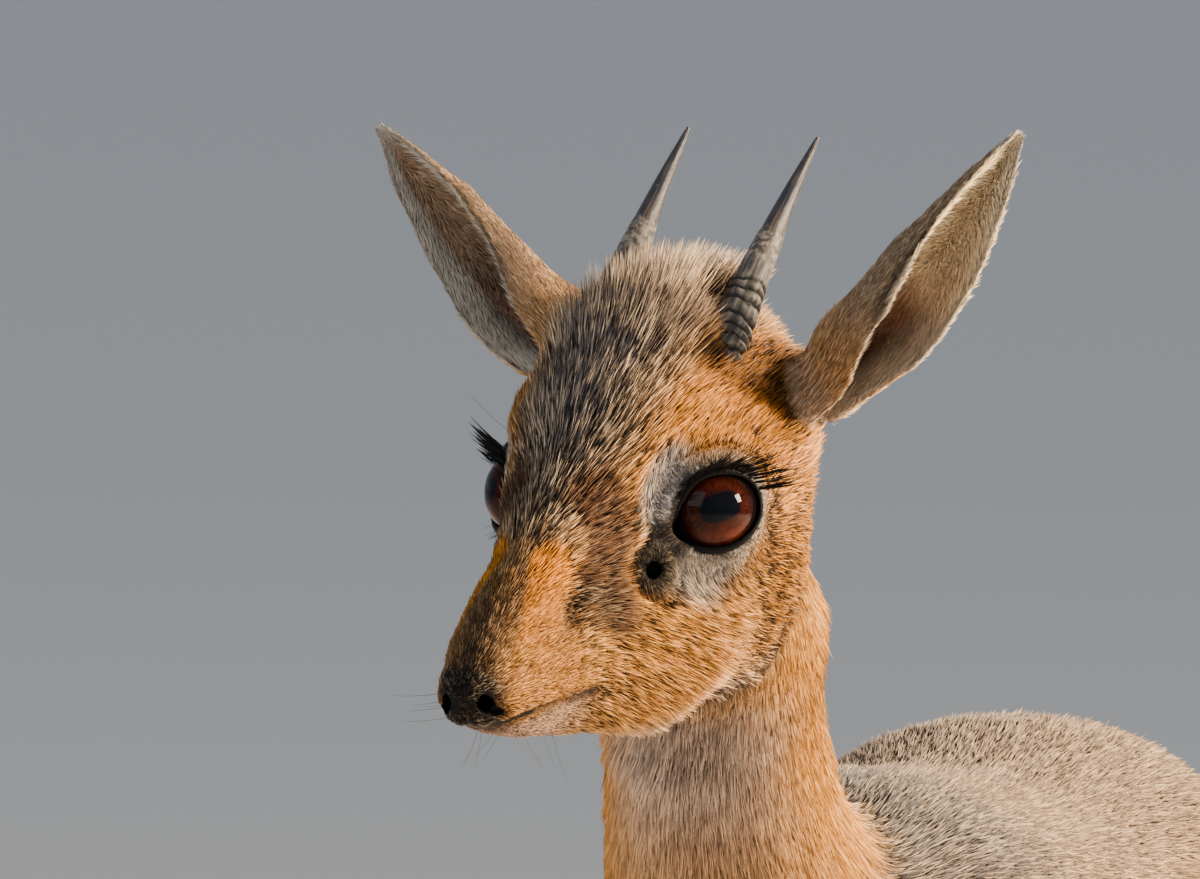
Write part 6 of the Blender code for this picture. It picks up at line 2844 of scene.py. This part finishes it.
@dataclass
class Coat:
    """All the hair that stands on the skin."""
    skin: bpy.types.Object
    shift: Array
    jitter: float = 0.13
    clump: float = 0.5
    clump_grain: float = 300.0
    first_seed: int = 11
    crest: dict[str, float] = field(default_factory=lambda: {
        "Seed": 41, "Width Scale": 1.15, "Jitter": 0.13, "Clump": 0.40, "Clump Scale": 210.0})
    single: dict[str, float] = field(default_factory=lambda: {
        "Seed": 5, "Jitter": 0.06, "Clump": 0.12, "Clump Scale": 300.0})

    @staticmethod
    def grow(name: str, roots: bpy.types.Mesh, tree: bpy.types.NodeTree, tuft: bpy.types.Object,
             finish: Finish, values: dict[str, float]) -> None:
        """One piece of hair.

        Args:
            name: the piece's name.
            roots: the mesh that the tufts stand on.
            tree: the tree that sets them.
            tuft: the tuft that it repeats.
            finish: the hair's finish.
            values: the tree's other inputs by name.
        """
        inputs = {"Tuft": tuft, "Material": finish_material(finish), **values}
        new_piece(name, grown(name, roots, tree, inputs), None)

    def build(self) -> None:
        """Grows every zone's tufts, then the crest, lashes and whiskers."""
        base = self.skin.data.copy()
        base.uv_layers["OFBake"].name = "root_uv"
        tufts = [shape.build() for shape in (FINE_TUFT, TALL_TUFT, LASH_HAIR, WHISKER_HAIR)]
        fine, tall, lash, whisker = tufts
        tree = TuftTree(Roots.FACES).build()
        for zone in [each for each in Zone if each is not Zone.CREST]:
            self.grow(f"coat_{zone.name.lower()}", base, tree, fine, COAT, {
                "Zone": int(zone), "Seed": self.first_seed + int(zone), "Jitter": self.jitter,
                "Clump": self.clump, "Clump Scale": self.clump_grain})
        tree = TuftTree(Roots.FACES).build("crest_length", "crest_density", "crest_aim",
                                           zoned=False)
        self.grow("coat_crest", base, tree, tall, COAT, self.crest)
        tree = TuftTree(Roots.POINTS).build()
        for piece, tuft, finish in ((Lashes(1), lash, LASH), (Lashes(-1), lash, LASH),
                                    (Whiskers(), whisker, WHISKER)):
            roots = piece.roots(self.skin, self.shift)
            self.grow(piece.name, roots, tree, tuft, finish, self.single)
        for each in tufts:
            bpy.data.objects.remove(each)


ROOT_TONE = (20, 16, 15)


def root_mesh(name: str, points: Array, out: Array, aim: Array, length: Array, width: Array,
              skin: bpy.types.Object, shift: Array) -> bpy.types.Mesh:
    """Loose points that carry what a tuft tree reads.

    Args:
        name: the mesh's name.
        points: the roots in the animal's frame.
        out: the way each tuft's back faces.
        aim: the way each tuft points.
        length: the tufts' lengths.
        width: the tufts' widths.
        skin: the skin, for the roots' places on its unwrap.
        shift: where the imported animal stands.

    Returns:
        The mesh of roots.
    """
    mesh = bpy.data.meshes.new(name)
    mesh.from_pydata((points + shift) * MM, [], [])
    count = len(points)
    store(mesh, "out", out)
    store(mesh, "aim", unit(aim))
    store(mesh, "hair_length", length * MM)
    store(mesh, "hair_width", width * MM)
    store(mesh, "tone", np.tile(solid(ROOT_TONE), (count, 1)))
    store(mesh, "grizzle", np.zeros(count))
    store(mesh, "contrast", np.ones(count))
    source = skin.data
    place = np.zeros((len(source.vertices), 2))
    place[corners_of(source)] = values_of(source.uv_layers["OFBake"].uv, "vector", 2)
    spots = points_of(source)
    uv = np.array([place[int(np.argmin(((spots - p - shift) ** 2).sum(1)))] for p in points])
    store(mesh, "root_uv", np.concatenate([uv, np.zeros((count, 1))], 1))
    return mesh


@dataclass
class Lashes:
    """The long upper lashes and the few lower ones of one eye."""
    mirror: int
    upper: int = 170
    lower: int = 30
    seed: int = 21
    upper_arc: Pair = (8, 150)
    lower_arc: Pair = (205, 345)
    proud: float = 0.9
    upper_width: float = 0.16
    lower_width: float = 0.10

    @property
    def name(self) -> str:
        """The piece's name."""
        return f"lashes_{side_name(self.mirror)}"

    def roots(self, skin: bpy.types.Object, shift: Array) -> bpy.types.Mesh:
        """The lashes' roots along the lids.

        Args:
            skin: the skin that they stand on.
            shift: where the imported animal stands.

        Returns:
            Loose points with what the tuft tree reads.
        """
        rng = np.random.default_rng(self.seed)
        centre, gaze, out, up = EYES.axes(self.mirror)
        angles = np.concatenate([np.radians(rng.uniform(*self.upper_arc, self.upper)),
                                 np.radians(rng.uniform(*self.lower_arc, self.lower))])
        count = len(angles)
        above = np.arange(count) < self.upper
        lift = np.where(above, rng.uniform(0.97, 1.07, count), rng.uniform(1.03, 1.10, count))
        x = EYES.half_width * np.cos(angles) * lift
        y = EYES.half_height * np.sin(angles) * lift
        deep = np.sqrt(np.maximum(4, (EYES.radius + self.proud) ** 2 - x * x - y * y))
        points = centre + np.outer(x, out) + np.outer(y, up) + np.outer(deep, gaze)
        outward = np.where(above, 0.45 + 0.55 * ease(x, -8, 10), 0.35)
        rise = np.where(above, 0.28 - 0.50 * ease(x, 0, 11), -0.55)
        ahead = 0.75 - 0.35 * ease(x, 0, 9)
        aim = np.outer(ahead, gaze) + np.outer(outward, out) + np.outer(rise, up)
        length = np.where(above, 6.0 + 4.0 * ease(x, -9, 7), 3.2)
        length = length * rng.uniform(0.75, 1.15, count)
        width = np.where(above, self.upper_width, self.lower_width)
        turn = HEAD_POSE.rotation()
        tilt = up * np.where(above, 1.0, -1.0)[:, None]
        return root_mesh(self.name, HEAD_POSE.to_animal(points), tilt @ turn.T, aim @ turn.T,
                         length, width, skin, shift)


@dataclass
class Whiskers:
    """Sparse fine whiskers on the muzzle and chin, and over the eyes.

    Each group's row holds how many there are, how far left they stand, how far forward, how
    high, from low to high where it varies, and the way that they point.
    """
    name: str = "whiskers"
    seed: int = 33
    groups: tuple[tuple[int, float, tuple[float, ...], tuple[float, ...], Triple], ...] = (
        (12, 9, (58, 70), (-26, -18), (1.4, 0.5, -0.4)),
        (8, 6, (48, 68), (-33,), (0.4, 0.2, -1.2)),
        (4, 26, (4, 14), (15,), (1.0, 0.4, 0.8)))
    astray: float = 0.3
    length: Pair = (9, 16)
    width: float = 0.06

    def roots(self, skin: bpy.types.Object, shift: Array) -> bpy.types.Mesh:
        """The whiskers' roots.

        Args:
            skin: the skin that they stand on.
            shift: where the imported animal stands.

        Returns:
            Loose points with what the tuft tree reads.
        """
        rng = np.random.default_rng(self.seed)
        spots = []
        for count, left, forwards, ups, aim in self.groups:
            for k in range(count):
                mirror = 1 if k % 2 else -1
                forward = rng.uniform(*forwards)
                up = rng.uniform(*ups) if len(ups) > 1 else ups[0]
                spots.append((on_side((left, forward, up), mirror), on_side(aim, mirror)))
        head = HEAD_POSE.to_head(points_of(skin.data) - shift)
        roots, aims = [], []
        for place, aim in spots:
            roots.append(head[int(np.argmin(((head - place) ** 2).sum(1)))])
            aims.append(aim + rng.uniform(-self.astray, self.astray, 3))
        roots, aims = np.array(roots), unit(np.array(aims))
        turn = HEAD_POSE.rotation()
        length = rng.uniform(*self.length, len(roots))
        out = np.tile(np.array((0, 0, 1.0)), (len(roots), 1)) @ turn.T
        return root_mesh(self.name, HEAD_POSE.to_animal(roots), out, aims @ turn.T, length,
                         np.full(len(roots), self.width), skin, shift)


@dataclass(frozen=True)
class Lamp:
    """A soft square light: its way from the head (right, to the camera, up), and its sizes."""
    name: str
    way: Triple
    distance: float
    size: float
    power: float
    tint: Triple


@dataclass
class Studio:
    """Plain floor, soft light and the photograph's camera."""
    shift: Array
    lamps: tuple[Lamp, ...] = (
        Lamp("key", (1.0, 0.12, 0.38), 2.6, 0.7, 250.0, (1.0, 0.80, 0.54)),
        Lamp("rim", (0.8, -0.9, 0.5), 2.6, 0.8, 110.0, (1.0, 0.80, 0.56)),
        Lamp("fill", (-0.8, 0.9, 0.6), 3.0, 2.2, 34.0, (0.80, 0.90, 1.0)))
    sky: Triple = (0.74, 0.80, 0.88)
    sky_strength: float = 0.50
    floor_tint: Triple = (214, 214, 214)
    floor_half: float = 60.0
    sensor: float = 36.0
    pixels_per_mm: float = 4.5
    azimuth: float = math.radians(12)
    elevation: float = math.radians(4)
    distance: float = 6000.0
    frame_size: tuple[int, int] = (1200, 879)
    eyes_pixel: Pair = (628.5, 498.0)

    def directions(self) -> tuple[Array, Array, Array]:
        """Finds the way that the camera is turned.

        Returns:
            Its right, back and up directions.
        """
        a, e = self.azimuth, self.elevation
        right = np.array((math.cos(a), math.sin(a), 0))
        back = np.array((math.sin(a) * math.cos(e), -math.cos(a) * math.cos(e), math.sin(e)))
        return right, back, np.cross(back, right)

    def camera(self) -> None:
        """A long lens, so that the eyes stand at their place in the photograph's frame."""
        right, back, up = self.directions()
        eyes = np.array(HEAD_POSE.place) + self.shift
        width, height = self.frame_size
        target = (eyes - right * (self.eyes_pixel[0] - width / 2) / self.pixels_per_mm
                  + up * (self.eyes_pixel[1] - height / 2) / self.pixels_per_mm)
        data = bpy.data.cameras.new("camera")
        data.sensor_width = self.sensor
        data.lens = self.sensor * self.distance / (width / self.pixels_per_mm)
        data.clip_start, data.clip_end = 0.5, 200.0
        camera = bpy.data.objects.new("camera", data)
        turn = Matrix((right, up, back)).transposed().to_4x4()
        camera.matrix_world = Matrix.Translation((target + back * self.distance) * MM) @ turn
        bpy.context.scene.collection.objects.link(camera)
        bpy.context.scene.camera = camera

    def light(self, lamp: Lamp) -> None:
        """Sets up one of the lamps.

        Args:
            lamp: the lamp.
        """
        right, back, up = self.directions()
        way = unit(right * lamp.way[0] + back * lamp.way[1] + up * lamp.way[2])
        data = bpy.data.lights.new(lamp.name, "AREA")
        data.shape = "SQUARE"
        data.size = lamp.size
        data.energy = lamp.power
        data.color = lamp.tint
        made = bpy.data.objects.new(lamp.name, data)
        spot = (np.array(HEAD_POSE.place) + self.shift) * MM + way * lamp.distance
        made.matrix_world = (Matrix.Translation(spot)
                             @ Vector(way).to_track_quat("Z", "Y").to_matrix().to_4x4())
        made.visible_camera = False
        bpy.context.scene.collection.objects.link(made)

    def floor(self) -> None:
        """A wide pale floor."""
        mesh = bpy.data.meshes.new("floor")
        half = self.floor_half
        mesh.from_pydata([(-half, -half, 0), (half, -half, 0), (half, half, 0), (-half, half, 0)],
                         [], [(0, 1, 2, 3)])
        made, nodes, shader = new_material("floor")
        nodes.fill(shader, {"Base Color": solid(self.floor_tint), "Roughness": 0.9})
        mesh.materials.append(made)
        floor = bpy.data.objects.new("floor", mesh)
        bpy.context.scene.collection.objects.link(floor)

    def build(self) -> None:
        """Camera, lights, floor and world."""
        self.camera()
        for lamp in self.lamps:
            self.light(lamp)
        self.floor()
        world = bpy.data.worlds.new("studio")
        world.use_nodes = True
        background = world.node_tree.nodes["Background"]
        background.inputs["Color"].default_value = (*self.sky, 1)
        background.inputs["Strength"].default_value = self.sky_strength
        bpy.context.scene.world = world


def clear_startup() -> None:
    """Removes what Blender's startup scene holds."""
    known = set(frame["nodes"].values()) | set(frame["bodies"].values())
    for each in list(bpy.data.objects):
        if each not in known:
            bpy.data.objects.remove(each)


def main() -> None:
    """Builds the animal piece by piece."""
    logging.basicConfig(level=logging.INFO, format="%(message)s", stream=sys.stdout)
    clear_startup()
    shift = settle_shift()
    log.info("settled by %s", np.round(shift, 2))
    skin = Skin(shift).build()
    for mirror in BOTH_SIDES:
        EyeBall(mirror).build(shift)
        LidRim(mirror).build(shift)
        Horn(mirror).build(shift)
    for mirror in BOTH_SIDES:
        for leg, table, stride in (("foreleg", FORELEG, FORE_STRIDE),
                                   ("hindleg", HINDLEG, HIND_STRIDE)):
            foot = (table[-1][1] * mirror, table[-1][2] + stride[mirror])
            for label in ("a", "b"):
                Claw(f"{leg}_{side_name(mirror)}", label, foot).build(shift)
    Coat(skin, shift).build()
    Studio(shift).build()


if __name__ == "__main__":
    main()
